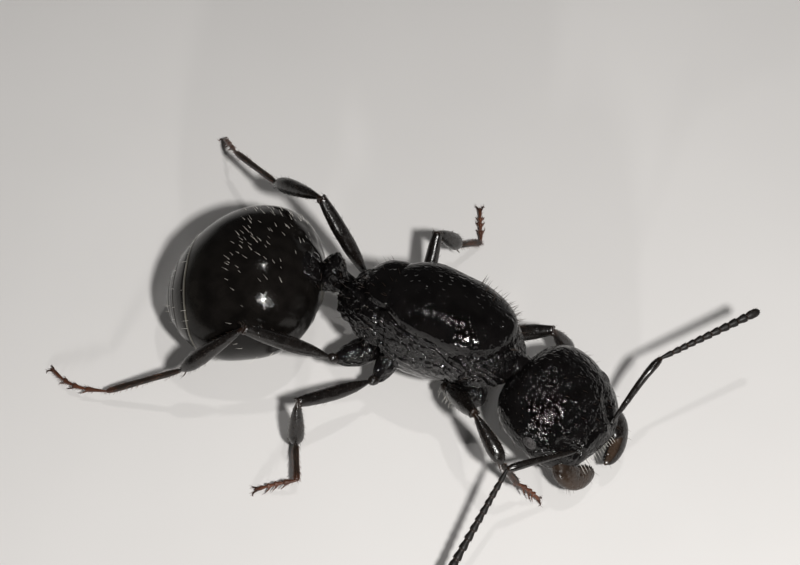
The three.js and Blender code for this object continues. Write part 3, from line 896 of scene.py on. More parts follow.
def gaster_ring(ring):
    """One ring of the gaster: a hard back plate over a paler belly plate."""
    edges = (GASTER_HALF, *GASTER_EDGES, -GASTER_HALF)
    front, back = edges[ring - 1], edges[ring]
    last = ring == len(edges) - 1
    angle = np.arange(RING_SIDES) * 2 * math.pi / RING_SIDES
    count = RING_COUNTS[ring - 1]
    quarter = np.linspace(0, math.pi / 2, count)
    hidden = front + OVERLAP
    if ring == 1:
        x = back + (front - back) * np.cos(quarter)
    elif last:
        x = back + (hidden - back) * (1 - np.sin(quarter))
    else:
        x = np.linspace(hidden, back, count)
    inset = np.zeros(count)
    if ring > 1:
        inset += 0.035 * (1 - smooth(front + 0.06 - x, 0, 0.2))
    if not last:
        x = np.concatenate([x, back + np.array(LIP_STEPS)])
        inset = np.concatenate([inset, LIP_INSETS])
    power = np.where(x < 0, *GASTER_BLUNT)
    taper = np.maximum(0, 1 - np.abs(x / GASTER_HALF) ** power) ** (1 / power)
    width, rise, drop, mid_y, mid_z = spline(table_of(GASTER_ROWS), x).T
    side, up = np.cos(angle), np.sin(angle)
    high = np.where(up > 0, rise[:, None], drop[:, None])
    # A step along each flank, where the back plate overlaps the belly plate.
    below = smooth(-np.arcsin(up) + BELLY_ANGLE, -0.035, 0.035)
    shrink = inset[:, None] + 0.04 * below
    rings = np.stack([
        np.repeat(x[:, None], RING_SIDES, 1),
        mid_y[:, None] + (width[:, None] - shrink) * taper[:, None] * side,
        mid_z[:, None] + (high - shrink) * taper[:, None] * up,
    ], -1)
    points, faces = tube(rings)
    below = np.concatenate([np.tile(below, len(x)), [0, 0]])
    rim = 0 * below if last else smooth(-points[:, 0], -back - 0.065, -back - 0.035)
    tone = 0.3 * below + (1 if ring == 1 else 0.06) * rim
    tone += 0.03 if ring > 1 else 0.03 * smooth(-points[:, 0], 0.2, 1.2)
    height = 0.014 * noise(points, 0.9, 31) + 0.001 * noise(points, 0.12, 32)
    height += 0.005 * pits(points, 0.3, 0.035, 33) * (1 - below)
    height += 0.035 * noise(points, 0.42, 34) * smooth(points[:, 0], 1.2, 1.9)
    height += 0.014 * rim
    if last:
        slit = near_path(points[:, 1:], [(-0.5, 0.0), (0.5, 0.0)], 0.05)
        height -= 0.06 * slit * smooth(-points[:, 0], 1.95, 2.1)
    return raised(points, faces, height), faces, np.clip(tone, 0, 1)


# ---- Legs and feelers ----


def towards(angles, length):
    """A step of `length` in a direction given as yaw and pitch in degrees."""
    yaw, pitch = (math.radians(a) for a in angles)
    level = length * math.cos(pitch)
    return Vector((level * math.cos(yaw), level * math.sin(yaw), length * math.sin(pitch)))


def leg_joints(name):
    """The places of one leg's joints, from the coxa's root to the tip of the foot."""
    leg = LEGS[name]
    lengths = LEG_LENGTHS[name.split("_")[0]]
    root, hip = Vector(leg["root"]), Vector(leg["tip"])
    knee = hip + towards(leg["femur"], lengths[0])
    shin = knee + towards(leg["tibia"], lengths[1])
    ball_joint = shin + towards(leg["toe"], lengths[2])
    ball_joint.z = max(ball_joint.z, TOE_HEIGHT + TOE_CLEARANCE)
    fall = max(-1, min(1, (TOE_HEIGHT - ball_joint.z) / lengths[3]))
    tip = ball_joint + towards((leg["foot"], math.degrees(math.asin(fall))), lengths[3])
    return root, hip, knee, shin, ball_joint, tip


def between(start, end):
    """A frame at `start` whose X axis points at `end`, and the distance."""
    run = end - start
    yaw = math.degrees(math.atan2(run.y, run.x))
    pitch = math.degrees(math.asin(run.z / run.length))
    return place(start, yaw, pitch), run.length


def with_grain(shape, amount, size, seed, tone):
    """A limb with a fine uneven surface."""
    points, faces = shape
    height = amount * noise(points * (0.45, 1, 1), size, seed)
    height += amount * noise(points * (0.3, 1, 1), size * 0.4, seed + 1)
    return raised(points, faces, height), faces, tone


def above_floor(points):
    """World points in millimetres, with those that would sink pressed up onto the floor."""
    low, z = FLOOR_CLEARANCE, points[:, 2]
    points[:, 2] = np.where(z < low, low * np.exp(np.minimum(z / low - 1, 0)), z)
    return points


def coxa_shape(length, thick, seed):
    """The short stout first joint of a leg."""
    rows = [
        (0, thick * 0.8, thick * 0.84, thick * 0.84),
        (length * 0.35, thick * 0.88, thick * 0.92, thick),
        (length * 0.75, thick * 0.66, thick * 0.7, thick * 0.78),
        (length, 0.17, 0.17, 0.17),
    ]
    points, faces = shell(rows, (3, 3), 2, 48)
    height = 0.02 * noise(points, 0.25, seed)
    height += 0.018 * wrinkles(points, (0.2, 0.7, 0.7), 0.1, seed)
    return raised(points, faces, height), faces, 0.25 * smooth(points[:, 0], length * 0.9, length)


def knob(at, radius):
    """A small rounded knob at a place, longer than it is wide."""
    points, faces = shell([(-1, 1, 1, 1), (1, 1, 1, 1)], count=12)
    return points * (radius, radius * 0.55, radius * 0.9) + at, faces


def femur_parts(length, thick, bow, seed):
    """The short trochanter, the long swollen femur and the two knobs of its knee."""
    ring = limb(0.37, [(0, 0.1), (0.3, 0.14), (0.75, 0.135), (1, 0.09)], 26, 28, start=-0.08)
    radii = [(0, 0.08), (0.08, 0.12), (0.26, thick * 0.86), (0.5, thick), (0.74, thick * 0.93),
             (0.9, 0.175), (1, 0.165)]
    bar = limb(length - 0.17, radii, 90, 40, 0.96, bow, start=0.2, ends=(3, 6))
    x = bar[0][:, 0]
    tone = 0.5 * (1 - smooth(x, 0.2, 0.3)) + 0.4 * smooth(x, length - 0.06, length)
    knobs = [knob((length - 0.03, side * 0.12, -0.03), 0.075) for side in (-1, 1)]
    return joined([
        with_grain(ring, 0.004, 0.12, seed, 0.1),
        with_grain(bar, 0.005, 0.16, seed + 3, tone),
        *((*shape, 0.25) for shape in knobs),
    ])


def tibia_parts(length, thick, seed):
    """The club-shaped tibia, its thin bent neck and the spurs at its end."""
    radii = [(0, 0.08), (0.08, 0.095), (0.2, thick * 0.57), (0.45, thick * 0.84), (0.7, thick),
             (0.86, thick * 0.9), (0.95, thick * 0.62), (1, 0.09)]
    bar = limb(length + 0.04, radii, 90, 36, 0.97, 0.02, start=-0.05, ends=(3, 5))
    spurs = []
    for side, reach in ((-1, 0.24), (1, 0.2)):
        t = np.linspace(0, 1, 14)
        drop = -0.12 - 0.1 * t + 0.06 * t * t
        path = np.stack([length - 0.08 + reach * t, side * (0.05 + 0.05 * t), drop], 1)
        spurs.append((*bend_tube(path, 0.018 * (1 - t ** 2) + 0.003, 10), 0.9))
    neck = 0.6 * (1 - smooth(bar[0][:, 0], 0.02, 0.25))
    return joined([with_grain(bar, 0.005, 0.14, seed, neck), *spurs])


def toe_shape(length, seed):
    """The long first toe joint, a little wider at its far end."""
    radii = [(0, 0.065), (0.08, 0.085), (0.5, 0.088), (0.88, 0.1), (1, 0.088)]
    bar = limb(length + 0.02, radii, 56, 24, start=-0.02, ends=(6, 6))
    return with_grain(bar, 0.004, 0.1, seed, 0.5 * smooth(bar[0][:, 0], length * 0.8, length))


def foot_parts(length, curl, seed):
    """Four short flaring toe joints with corner spines, the pad and two hooked claws."""
    spans = np.array([0.31, 0.22, 0.18, 0.29]) * length
    starts = np.concatenate([[0], np.cumsum(spans)[:-1]])
    t = np.linspace(0, 1, 18)
    parts = []
    for i, (start, span) in enumerate(zip(starts, spans)):
        far = 0.055 if i == 3 else 0.088
        radii = [(0, 0.036), (0.25, 0.044), (0.6, 0.06), (0.88, far), (1, far * 0.8)]
        bead = limb(span + 0.03, radii, 26, 22, 0.95, start=start - 0.015, ends=(3, 5))
        end = start + span
        tone = 0.25 * smooth(bead[0][:, 0], start, end)
        parts.append(with_grain(bead, 0.002, 0.08, seed + i, tone))
        for side in (-1, 1) if i < 3 else ():
            path = np.stack([end - 0.05 + 0.19 * t, side * (0.05 + 0.09 * t), -0.04 - 0.07 * t], 1)
            parts.append((*bend_tube(path, 0.02 * (1 - t ** 2) + 0.002, 8), 0.1))
    for side in (-1, 1):
        path = np.stack([
            length - 0.05 + 0.2 * np.sin(1.7 * t),
            side * (0.03 + 0.13 * t),
            0.03 * np.sin(math.pi * t) - 0.12 * t ** 2,
        ], 1)
        parts.append((*bend_tube(path, 0.026 * (1 - t ** 1.6) + 0.003, 10), 0.7))
    pad = limb(0.09, [(0, 0.03), (0.5, 0.035), (1, 0.02)], 14, 14, start=length - 0.02)
    parts.append((*pad, 0.0))
    points, faces, tone = joined(parts)
    arch = np.sin(math.pi * np.clip(points[:, 0] / length, 0, 1))
    points[:, 2] += 0.05 * arch
    points[:, 1] += curl * arch
    return points, faces, tone


def scape_parts(bow, seed):
    """The feeler's long shaft, with the ball it turns on."""
    bulb = limb(0.16, [(0, 0.07), (0.5, 0.08), (1, 0.055)], 18, 24, start=-0.05)
    radii = [(0, 0.055), (0.06, 0.07), (0.3, 0.085), (0.7, 0.105), (0.9, 0.12), (1, 0.1)]
    bar = limb(SCAPE_LENGTH - 0.04, radii, 90, 28, bow=bow, peak=0.66, start=0.06, ends=(3, 5))
    tone = 0.4 * smooth(bar[0][:, 0], SCAPE_LENGTH - 0.1, SCAPE_LENGTH)
    return joined([
        with_grain(bulb, 0.003, 0.08, seed, 0.0),
        with_grain(bar, 0.003, 0.1, seed + 3, tone),
    ])


WHIP_SPANS = (1.35, 0.8, 0.82, 0.86, 0.9, 0.92, 0.96, 1.0, 1.02, 1.06, 1.5)
WHIP_SIDES = 26
# Where the rings of points lie along one joint; they crowd at its flared far end.
JOINT_SHARES = (
    0, 0.04, 0.1, 0.18, 0.28, 0.38, 0.48, 0.58, 0.68, 0.76, 0.83, 0.88, 0.92, 0.95, 0.975, 0.99,
)
JOINT_NECK = 0.74  # how thick a joint starts, as a share of its far end


def whip_parts(seed):
    """The whip of the feeler: one skin over eleven stacked cones that thicken to a round club."""
    spans = np.array(WHIP_SPANS) * WHIP_LENGTH / sum(WHIP_SPANS)
    edges = np.concatenate([[0], np.cumsum(spans)])
    share = np.array(JOINT_SHARES)
    flare = 1 - JOINT_NECK
    swell = JOINT_NECK + flare * smooth(share, 0, 0.75) - flare * smooth(share, 0.86, 1)
    x = (edges[:-1, None] + spans[:, None] * share[None]).ravel()
    stations = np.array([0, 0.15, 0.9, 1]) * WHIP_LENGTH
    base = np.interp(x, stations, [0.062, 0.088, 0.124, 0.118])
    radius = base * np.tile(swell, len(spans))
    tip = np.clip((x - edges[-2]) / spans[-1], 0, 1)
    radius = np.where(x >= edges[-2], base * (JOINT_NECK + flare * smooth(tip, 0, 0.3)), radius)
    radius *= np.sqrt(np.clip(1 - np.maximum(0, (tip - 0.55) / 0.45) ** 2.2, 0.01, 1))
    angle = np.arange(WHIP_SIDES) * 2 * math.pi / WHIP_SIDES
    skin = tube(np.stack([
        np.repeat(x[:, None], WHIP_SIDES, 1),
        radius[:, None] * np.cos(angle),
        radius[:, None] * np.sin(angle),
    ], -1))
    nearest = np.abs(skin[0][:, :1] - edges[None, 1:-1]).min(1)
    tone = 0.45 * (1 - smooth(nearest, 0, 0.04))
    return with_grain(skin, 0.002, 0.08, seed, tone)


# ---- Hairs ----


def vertices_of(piece):
    """A piece's points and normals, in its own axes, in millimetres."""
    both = []
    for name, unit in (("co", MM), ("normal", 1)):
        values = np.empty(len(piece.data.vertices) * 3, np.float32)
        piece.data.vertices.foreach_get(name, values)
        both.append(values.reshape(-1, 3).astype(float) / unit)
    return both


def spots_on(points, chosen):
    """Where the chosen points lie on an unwrap of a piece around its X axis, from 0 to 1."""
    low, high = points.min(0), points.max(0)
    spread = (points[chosen, 0] - low[0]) / (high[0] - low[0])
    middle = points.mean(0)
    turn = np.arctan2(points[chosen, 1] - middle[1], points[chosen, 2] - middle[2])
    return np.stack([0.5 + turn / (2 * math.pi), spread], 1)


def scatter(piece, count, gap, rng, where=None):
    """Root places and normals spread over a piece, and their spots on its unwrap."""
    points, normals = vertices_of(piece)
    keep = np.arange(len(points)) if where is None else np.flatnonzero(where(points, normals))
    keep = rng.permutation(keep)
    cell = np.floor(points[keep] / gap).astype(np.int64)
    _, first = np.unique(cell, axis=0, return_index=True)
    chosen = keep[np.sort(rng.permutation(first)[:count])]
    return points[chosen], normals[chosen], spots_on(points, chosen)


def hair_tubes(roots, ways, bends, lengths, thick, steps=5):
    """Thin three-sided tapering hairs: rings of points, and faces for each hair."""
    count = len(roots)
    t = np.linspace(0, 1, steps + 1)[:-1]
    line = (
        roots[:, None] + ways[:, None] * (lengths[:, None] * t)[..., None]
        + bends[:, None] * (lengths[:, None] * t * t)[..., None]
    )
    tip = roots + ways * lengths[:, None] + bends * lengths[:, None]
    aside = np.cross(ways, np.where(np.abs(ways[:, 2:]) > 0.9, [[1.0, 0, 0]], [[0, 0, 1.0]]))
    aside /= np.linalg.norm(aside, axis=1, keepdims=True)
    above = np.cross(aside, ways)
    angle = np.arange(3) * 2 * math.pi / 3
    ring = aside[:, None] * np.cos(angle)[:, None] + above[:, None] * np.sin(angle)[:, None]
    radius = thick * (1 - 0.8 * t)
    body = line[:, :, None] + ring[:, None] * radius[None, :, None, None]
    points = np.concatenate([body.reshape(count, -1, 3), tip[:, None]], 1)
    index = np.arange(steps * 3).reshape(steps, 3)
    following = np.roll(index, -1, axis=1)
    quads = np.stack([index[:-1], index[1:], following[1:], following[:-1]], -1).reshape(-1, 4)
    tris = np.stack([np.full(3, steps * 3), following[-1], index[-1]], 1)
    base = np.array([[0, 1, 2]])
    start = (np.arange(count) * points.shape[1])[:, None, None]
    ends = np.concatenate([tris, base])
    faces = [(quads[None] + start).reshape(-1, 4), (ends[None] + start).reshape(-1, 3)]
    share = np.concatenate([np.repeat(t, 3), [1]])
    turn = np.concatenate([np.tile([0, 0.5, 1], steps), [0.5]])
    return points.reshape(-1, 3), faces, share, turn


PATCH = 0.003  # how far one hair spreads on the coat's bake map
TILE_MARGIN = 0.04  # the empty border of a piece's tile on the bake map
HAIR_ROOT = 0.01  # how deep a hair starts under the skin


class Coat:
    """Hairs from several pieces, gathered into one mesh with a patch each on its bake map."""

    def __init__(self, name, tiles, seed):
        self.name = name
        self.tiles = tiles
        self.rng = np.random.default_rng(seed)
        self.points, self.faces, self.places = [], [], []
        self.used = 0
        self.tile = 0

    def add(self, piece, count, gap, length, lean, stand=1.0, curl=0.25, thick=1.0, where=None):
        """Hairs on one piece that lean along `lean`, in the piece's own axes."""
        roots, normals, spots = scatter(piece, count, gap, self.rng, where)
        number = len(roots)
        if not number:
            raise RuntimeError(f"no room for hairs on {piece.name}")
        lean = np.asarray(lean, float)
        ways = normals * stand + lean + self.rng.normal(0, 0.14, (number, 3))
        ways /= np.linalg.norm(ways, axis=1, keepdims=True)
        lengths = length * self.rng.uniform(0.7, 1.25, number)
        bends = curl * (lean - normals * 0.35) + self.rng.normal(0, 0.05, (number, 3))
        self.grow(piece, roots - normals * HAIR_ROOT, ways, bends, lengths, spots, thick)

    def grow(self, piece, roots, ways, bends, lengths, spots, thick=1.0):
        """Hairs at given roots; `thick` is a share of the usual thickness."""
        radius = thick * bpy.context.scene.ant_looks.hair_radius / MM
        points, faces, share, turn = hair_tubes(roots, ways, bends, lengths, radius)
        spot = piece.matrix_world.copy()
        spot.translation = spot.translation / MM
        self.faces += [group + self.used for group in faces]
        self.points.append(above_floor(moved(points, spot)))
        column, row = self.tile % self.tiles, self.tile // self.tiles
        inside = TILE_MARGIN + (1 - 2 * TILE_MARGIN) * spots
        corner = (np.array([column, row]) + inside) / self.tiles
        each = np.stack([turn, share], 1) * PATCH
        self.places.append((corner[:, None] + each[None]).reshape(-1, 2))
        self.used += len(points)
        self.tile += 1

    def build(self, skin):
        """The finished coat as one piece that rides on the ant."""
        points = np.concatenate(self.points)
        piece = add_mesh(self.name, points * MM, self.faces, np.zeros(len(points)))
        uv = piece.data.uv_layers.new(name="OFBake")
        corner = np.empty(len(piece.data.loops), np.int32)
        piece.data.loops.foreach_get("vertex_index", corner)
        places = np.clip(np.concatenate(self.places), 0, 1)
        uv.uv.foreach_set("vector", places[corner].astype(np.float32).ravel())
        piece.data.materials.append(skin)
        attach(piece, "root")
        return piece


def piece_named(name):
    """A piece made earlier; the hairs grow on it."""
    found = bpy.data.objects.get(name)
    if found is None:
        raise RuntimeError(f"{name} has to be built before its hairs")
    return found


# ---- Operators ----


def on_head(at, sign, roll, turn, axis):
    """A frame on the head's left (`sign` 1) or right (-1), rolled outward and turned."""
    x, y, z = at
    rolled = Matrix.Rotation(sign * math.radians(roll), 4, "X")
    return place(**HEAD) @ Matrix.Translation((x, sign * y, z)) @ (
        rolled @ Matrix.Rotation(math.radians(turn), 4, axis))


class ANT_OT_head(bpy.types.Operator):
    """Build the head capsule, its ocelli and the throat"""

    bl_idname = "ant.head"
    bl_label = "Head"

    def execute(self, context):
        spot = place(**HEAD)
        capsule = head_shape(context.scene.ant_looks)
        add_piece("head_capsule", capsule, spot, finish("pitted_shell"), ["head"])
        add_piece("ocelli", ocelli_shape(), spot, finish("ocellus"))
        add_piece("throat", neck_shape(), place((0, 0, 0)), finish("polished_shell"))
        return {"FINISHED"}


class ANT_OT_eyes(bpy.types.Operator):
    """Build the two faceted eyes"""

    bl_idname = "ant.eyes"
    bl_label = "Eyes"

    def execute(self, context):
        roll, yaw = EYE_TURN
        for side, sign in SIDES:
            spot = on_head(EYE_PLACE, sign, roll, sign * yaw, "Z")
            add_piece(f"eye_dome_{side}", eye_shape(), spot, finish("eye_lens"),
                      [f"eye_{side}"])
        return {"FINISHED"}


class ANT_OT_jaws(bpy.types.Operator):
    """Build the two toothed jaws"""

    bl_idname = "ant.jaws"
    bl_label = "Jaws"

    def execute(self, context):
        for side, sign in SIDES:
            spot = on_head(JAW_PLACE, sign, JAW_ROLLS[side], JAW_DIP, "Y")
            blade = jaw_shape(sign, JAW_BROWN_AND_PAINTED_SHADE[side])
            add_piece(f"jaw_{side}", blade, spot, finish("jaw_shell"), [f"mandible_{side}"])
        return {"FINISHED"}


class ANT_OT_feelers(bpy.types.Operator):
    """Build the shaft and the beaded whip of each feeler"""

    bl_idname = "ant.feelers"
    bl_label = "Feelers"

    def execute(self, context):
        for side, sign in SIDES:
            x, y, z = SCAPE_ROOT
            root = place(**HEAD) @ Vector((x, sign * y, z))
            angles = FEELERS[side]
            shaft = place(root, *angles["scape"])
            elbow = shaft @ Vector((SCAPE_LENGTH, 0, 0))
            seed = FEELER_SEEDS[side]
            add_piece(f"scape_{side}", scape_parts(angles["bow"], seed), shaft,
                      finish("limb_shell"), [f"antenna_{side}_scape"])
            add_piece(f"whip_{side}", whip_parts(seed + 5), place(elbow, *angles["whip"]),
                      finish("whip_skin"), [f"antenna_{side}_funiculus"])
        return {"FINISHED"}


class ANT_OT_trunk(bpy.types.Operator):
    """Build the five plates of the trunk"""

    bl_idname = "ant.trunk"
    bl_label = "Trunk"

    def execute(self, context):
        looks = context.scene.ant_looks
        for name in TRUNK_ROWS:
            polished = name in ("mesoscutum", "scutellum")
            skin = finish("polished_shell" if polished else "wrinkled_shell")
            plate = trunk_shape(name, looks)
            add_piece(f"{name}_plate", plate, place(**TRUNK), skin, [name])
        return {"FINISHED"}


class ANT_OT_waist(bpy.types.Operator):
    """Build the two knots of the waist"""

    bl_idname = "ant.waist"
    bl_label = "Waist"

    def execute(self, context):
        looks = context.scene.ant_looks
        skin = finish("wrinkled_shell")
        add_piece("petiole_knot", waist_shape(PETIOLE_ROWS, (4, 6), 2.3, 70, looks),
                  place(**PETIOLE), skin, ["petiole"])
        add_piece("postpetiole_knot", waist_shape(POSTPETIOLE_ROWS, (3, 3), 2.2, 80, looks),
                  place(**POSTPETIOLE), skin, ["postpetiole"])
        return {"FINISHED"}


class ANT_OT_gaster(bpy.types.Operator):
    """Build the four overlapping rings of the gaster"""

    bl_idname = "ant.gaster"
    bl_label = "Gaster"

    def execute(self, context):
        for ring in range(1, len(GASTER_EDGES) + 2):
            add_piece(f"gaster_plate_{ring}", gaster_ring(ring), place(**GASTER),
                      finish("satin_gaster"), [f"gaster_ring_{ring}"])
        return {"FINISHED"}


class ANT_OT_legs(bpy.types.Operator):
    """Build the six legs, from coxa to claws"""

    bl_idname = "ant.legs"
    bl_label = "Legs"

    def execute(self, context):
        for number, name in enumerate(LEGS):
            pair = name.split("_")[0]
            seed = LEG_SEED + LEG_SEED_STEP * number
            joints = leg_joints(name)
            runs = [between(start, end) for start, end in zip(joints, joints[1:])]
            coxa, femur, tibia, toe, foot = (length for _, length in runs)
            curl = LEGS[name].get("curl", 0)
            # Each part: name, its solid, finish, slot, whether it meets the floor, shape.
            parts = (
                ("coxa", "coxa", "wrinkled_shell", "limb", False,
                 coxa_shape(coxa + 0.08, COXA_RADII[pair], seed)),
                ("femur", "femur", "limb_shell", "limb", False,
                 femur_parts(femur, FEMUR_RADII[pair], FEMUR_BOWS[pair], seed + 2)),
                ("tibia", "tibia", "limb_shell", "limb", True,
                 tibia_parts(tibia, TIBIA_RADII[pair], seed + 6)),
                ("toe", "basitarsus", "toe_shell", "toe", True, toe_shape(toe, seed + 9)),
                ("foot", "tarsus", "foot_shell", "toe", True, foot_parts(foot, curl, seed + 12)),
            )
            for (spot, _), (part, solid, skin, slot, grounded, shape) in zip(runs, parts):
                add_piece(f"{part}_{name}", shape, spot, finish(skin),
                          [f"leg_{name}_{solid}"], grounded)
        return {"FINISHED"}


# Where hairs grow: each says of every point of a piece whether it may carry one.


def facing_up(points, normals):
    return normals[:, 2] > 0.1


def underneath(points, normals):
    return normals[:, 2] < -0.3


def dome_front(points, normals):
    return (normals[:, 1] > 0.3) & (points[:, 0] > 0.9) & (normals[:, 2] > 0)


def gaster_front(points, normals):
    return (normals[:, 2] > -0.2) & (points[:, 0] > 0.3)


def leg_base(points, normals):
    return (normals[:, 2] < 0.1) & (points[:, 0] < 0.9)


def near_edge(edge):
    """Grow hairs only just in front of a gaster ring's rear edge."""
    return lambda points, normals: np.abs(points[:, 0] - edge - 0.06) < 0.06


FORWARD, BACKWARD = (0.5, 0, 0), (-0.5, 0, 0)
# Each coat: seed, finish, slot, and rows of piece, count, gap, length, lean and settings.
BODY_COATS = {
    "hairs_head": (1, "dark_hair", "shell", [
        ("head_capsule", 70, 0.3, 0.17, FORWARD, {"where": facing_up}),
        ("head_capsule", 60, 0.24, 0.36, (1.2, 0, 0), {"curl": 0.5, "where": underneath}),
        ("jaw_left", 34, 0.12, 0.15, (0.6, 0, 0), {}),
        ("jaw_right", 34, 0.12, 0.15, (0.6, 0, 0), {}),
    ]),
    "hairs_trunk": (2, "dark_hair", "shell", [
        ("mesoscutum_plate", 70, 0.12, 0.26, (0.1, 0, 0), {"thick": 1.2, "where": dome_front}),
        ("scutellum_plate", 30, 0.24, 0.2, BACKWARD, {"where": facing_up}),
        ("pronotum_plate", 60, 0.24, 0.2, BACKWARD, {}),
        ("propodeum_plate", 45, 0.26, 0.18, BACKWARD, {}),
        ("mesopleuron_plate", 50, 0.3, 0.16, BACKWARD, {}),
        ("petiole_knot", 22, 0.18, 0.2, BACKWARD, {}),
        ("postpetiole_knot", 30, 0.16, 0.24, BACKWARD, {}),
    ]),
    "hairs_feelers": (6, "dark_hair", "limb", [
        (f"{part}_{side}", count, 0.06, length, (1.3, 0, 0), {"stand": 0.7, "thick": 0.8})
        for side in ("left", "right")
        for part, count, length in (("scape", 90, 0.08), ("whip", 320, 0.06))
    ]),
}


class ANT_OT_hairs(bpy.types.Operator):
    """Grow the hairs of the head, trunk, gaster, legs and feelers as thin solid mesh"""

    bl_idname = "ant.hairs"
    bl_label = "Hairs"

    def execute(self, context):
        for name, (seed, skin, slot, rows) in BODY_COATS.items():
            coat = Coat(name, 3, seed)
            for piece, count, gap, length, lean, settings in rows:
                coat.add(piece_named(piece), count, gap, length, lean, **settings)
            coat.build(finish(skin))
        self.grow_fringe()
        self.grow_gaster()
        self.grow_legs()
        return {"FINISHED"}

    def grow_fringe(self):
        """The comb of pale hairs that hangs from the clypeus between the jaws."""
        capsule = piece_named("head_capsule")
        points, normals = vertices_of(capsule)
        rng = np.random.default_rng(7)
        across = np.linspace(-0.62, 0.62, 15)
        chosen = []
        for y in across:
            apart = np.hypot(points[:, 1] - y, points[:, 2] - 0.12) + (points[:, 0] < 1) * FAR
            chosen.append(int(np.argmin(apart)))
        number = len(chosen)
        ways = np.stack([np.ones(number), 0.12 * across, np.full(number, -0.12)], 1)
        ways += rng.normal(0, 0.03, (number, 3))
        ways /= np.linalg.norm(ways, axis=1, keepdims=True)
        bends = np.tile([0, 0, -0.3], (number, 1)) + rng.normal(0, 0.03, (number, 3))
        lengths = rng.uniform(0.36, 0.46, number)
        coat = Coat("fringe_mouth", 1, 7)
        coat.grow(capsule, points[chosen] - normals[chosen] * HAIR_ROOT, ways, bends, lengths,
                  spots_on(points, chosen), 1.5)
        coat.build(finish("pale_hair"))

    def grow_gaster(self):
        """Short pale hairs on the front ring and along the rear rim of every ring."""
        coat = Coat("hairs_gaster", 3, 3)
        front = piece_named("gaster_plate_1")
        coat.add(front, 240, 0.17, 0.17, (-0.8, 0.6, 0), 0.6, thick=1.3, where=gaster_front)
        coat.add(front, 50, 0.34, 0.2, (-0.8, 0, 0), where=underneath)
        for ring, edge in enumerate((*GASTER_EDGES, -GASTER_HALF), 1):
            count, length = (36, 0.17) if ring == 1 else (14, 0.1)
            coat.add(piece_named(f"gaster_plate_{ring}"), count, 0.1, length, (-1.4, 0, 0), 0.5,
                     where=near_edge(edge))
        coat.build(finish("pale_hair"))

    def grow_legs(self):
        """Fine dark hairs on the legs, a pale brush under the front ones and foot spines."""
        legs = Coat("hairs_legs", 5, 4)
        feet = Coat("spines_feet", 4, 5)
        brush = Coat("brush_legs", 2, 8)
        for name in LEGS:
            femur = piece_named(f"femur_{name}")
            legs.add(piece_named(f"coxa_{name}"), 14, 0.16, 0.16, FORWARD)
            legs.add(femur, 50, 0.14, 0.12, (0.9, 0, 0), 0.8)
            legs.add(piece_named(f"tibia_{name}"), 110, 0.09, 0.12, (1.0, 0, 0), 0.8)
            feet.add(piece_named(f"toe_{name}"), 110, 0.05, 0.12, (1.0, 0, -0.3), 0.8, thick=1.3)
            feet.add(piece_named(f"foot_{name}"), 90, 0.05, 0.1, (1.0, 0, -0.3), 0.9, thick=1.2)
            if name.startswith("fore"):
                brush.add(femur, 34, 0.07, 0.26, (0.1, 0, -0.6), where=leg_base)
        legs.build(finish("dark_hair"))
        feet.build(finish("spine"))
        brush.build(finish("pale_hair"))


CAMERA_PLACE = (13.014, -30.011, 54.967)
CAMERA_AZIMUTH = 25
CAMERA_ELEVATION = 57
CAMERA_SENSOR = 36  # millimetres
LAMP_TARGET = (0, 0, 2)
LAMP_COLOUR = (1, 0.985, 0.96)
FLOOR_REACH = 0.6  # metres
FLOOR_SIDES, FLOOR_RINGS = 96, 14


def aimed(obj, spot, target):
    """Put a camera or lamp at `spot` and point it at `target`, in the ant's millimetres."""
    spot, target = Vector(spot) + SHIFT, Vector(target) + SHIFT
    obj.location = spot * MM
    obj.rotation_euler = (target - spot).to_track_quat("-Z", "Y").to_euler()


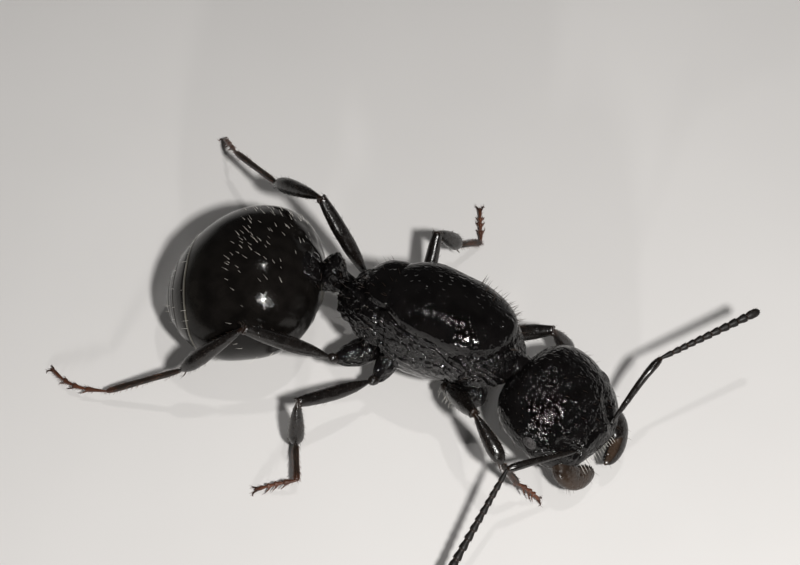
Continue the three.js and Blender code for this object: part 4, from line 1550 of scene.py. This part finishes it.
class ANT_OT_stage(bpy.types.Operator):
    """Set up the pale floor, the lights and the camera"""

    bl_idname = "ant.stage"
    bl_label = "Stage"

    def execute(self, context):
        scene = context.scene
        stage = scene.ant_stage
        self.add_floor(stage)
        self.add_camera(scene, stage)
        self.add_lights(scene, stage)
        return {"FINISHED"}

    def add_floor(self, stage):
        count = FLOOR_SIDES
        angle = np.arange(count) * 2 * math.pi / count
        rings = [np.stack([r * np.cos(angle), r * np.sin(angle), 0 * angle], 1)
                 for r in np.linspace(0.02, 1, FLOOR_RINGS) ** 2 * FLOOR_REACH]
        points = np.concatenate([*rings, [[0, 0, 0]]])
        index = np.arange(len(rings) * count).reshape(len(rings), count)
        following = np.roll(index, -1, axis=1)
        quads = np.stack([index[:-1], index[1:], following[1:], following[:-1]], -1).reshape(-1, 4)
        middle = np.stack([np.full(count, len(points) - 1), index[0], following[0]], 1)
        floor = add_mesh("floor", points, [quads, middle], np.zeros(len(points)))
        made = material("pale_floor", tuple(stage.floor_colour), (1, 1, 1), (0.8, 0.9), [],
                        blotch=0.015, blotch_size=9, specular=0.15)
        floor.data.materials.append(made)

    def add_camera(self, scene, stage):
        camera = bpy.data.objects.new("camera", bpy.data.cameras.new("camera"))
        camera.data.lens = stage.lens
        camera.data.sensor_width = CAMERA_SENSOR
        camera.data.clip_start = 0.001
        camera.data.clip_end = 10
        camera.location = (Vector(CAMERA_PLACE) + SHIFT) * MM
        tilt, turn = math.radians(90 - CAMERA_ELEVATION), math.radians(CAMERA_AZIMUTH)
        camera.rotation_euler = (tilt, 0, turn)
        scene.collection.objects.link(camera)
        scene.camera = camera

    def add_lights(self, scene, stage):
        lamps = (
            ("key", (28, -27, 58), 5.5, stage.key_power),
            ("top", (4, 14, 66), 2.5, stage.key_power * 0.1),
            ("side", (22, -62, 18), 4.5, stage.key_power * 0.25),
            ("rim", (16, 62, 10), 26, stage.fill_power * 0.2),
            ("front", (70, 8, 9), 12, stage.fill_power * 0.4),
        )
        for name, spot, size, power in lamps:
            lamp = bpy.data.lights.new(name, "AREA")
            lamp.shape = "DISK"
            lamp.size = size * MM
            lamp.energy = power
            lamp.color = LAMP_COLOUR
            obj = bpy.data.objects.new(name, lamp)
            scene.collection.objects.link(obj)
            aimed(obj, spot, LAMP_TARGET)
        world = bpy.data.worlds.new("surround")
        world.use_nodes = True
        sky = world.node_tree.nodes["Background"]
        sky.inputs["Color"].default_value = (1, 0.99, 0.98, 1)
        sky.inputs["Strength"].default_value = stage.surround
        scene.world = world
        scene.view_settings.view_transform = "Standard"


OPERATORS = (
    ANT_OT_stage, ANT_OT_head, ANT_OT_eyes, ANT_OT_jaws, ANT_OT_feelers, ANT_OT_trunk,
    ANT_OT_waist, ANT_OT_gaster, ANT_OT_legs, ANT_OT_hairs,
)


class ANT_PT_panel(bpy.types.Panel):
    """Lists the ant's builders and settings"""

    bl_idname = "ANT_PT_panel"
    bl_label = "Ant Queen"
    bl_space_type = "VIEW_3D"
    bl_region_type = "UI"
    bl_category = "Ant"

    def draw(self, context):
        layout = self.layout
        for settings in (context.scene.ant_looks, context.scene.ant_stage):
            for name in settings.bl_rna.properties.keys():
                if name not in ("rna_type", "name"):
                    layout.prop(settings, name)
        for operator in OPERATORS:
            layout.operator(operator.bl_idname)


CLASSES = (AntLooks, AntStage, *OPERATORS, ANT_PT_panel)


def register():
    for cls in CLASSES:
        bpy.utils.register_class(cls)
    bpy.types.Scene.ant_looks = PointerProperty(type=AntLooks)
    bpy.types.Scene.ant_stage = PointerProperty(type=AntStage)


def unregister():
    del bpy.types.Scene.ant_stage
    del bpy.types.Scene.ant_looks
    for cls in reversed(CLASSES):
        bpy.utils.unregister_class(cls)


def main():
    """Register the add-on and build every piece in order."""
    register()
    for operator in OPERATORS:
        getattr(bpy.ops.ant, operator.bl_idname.split(".")[1])()


if __name__ == "__main__":
    main()
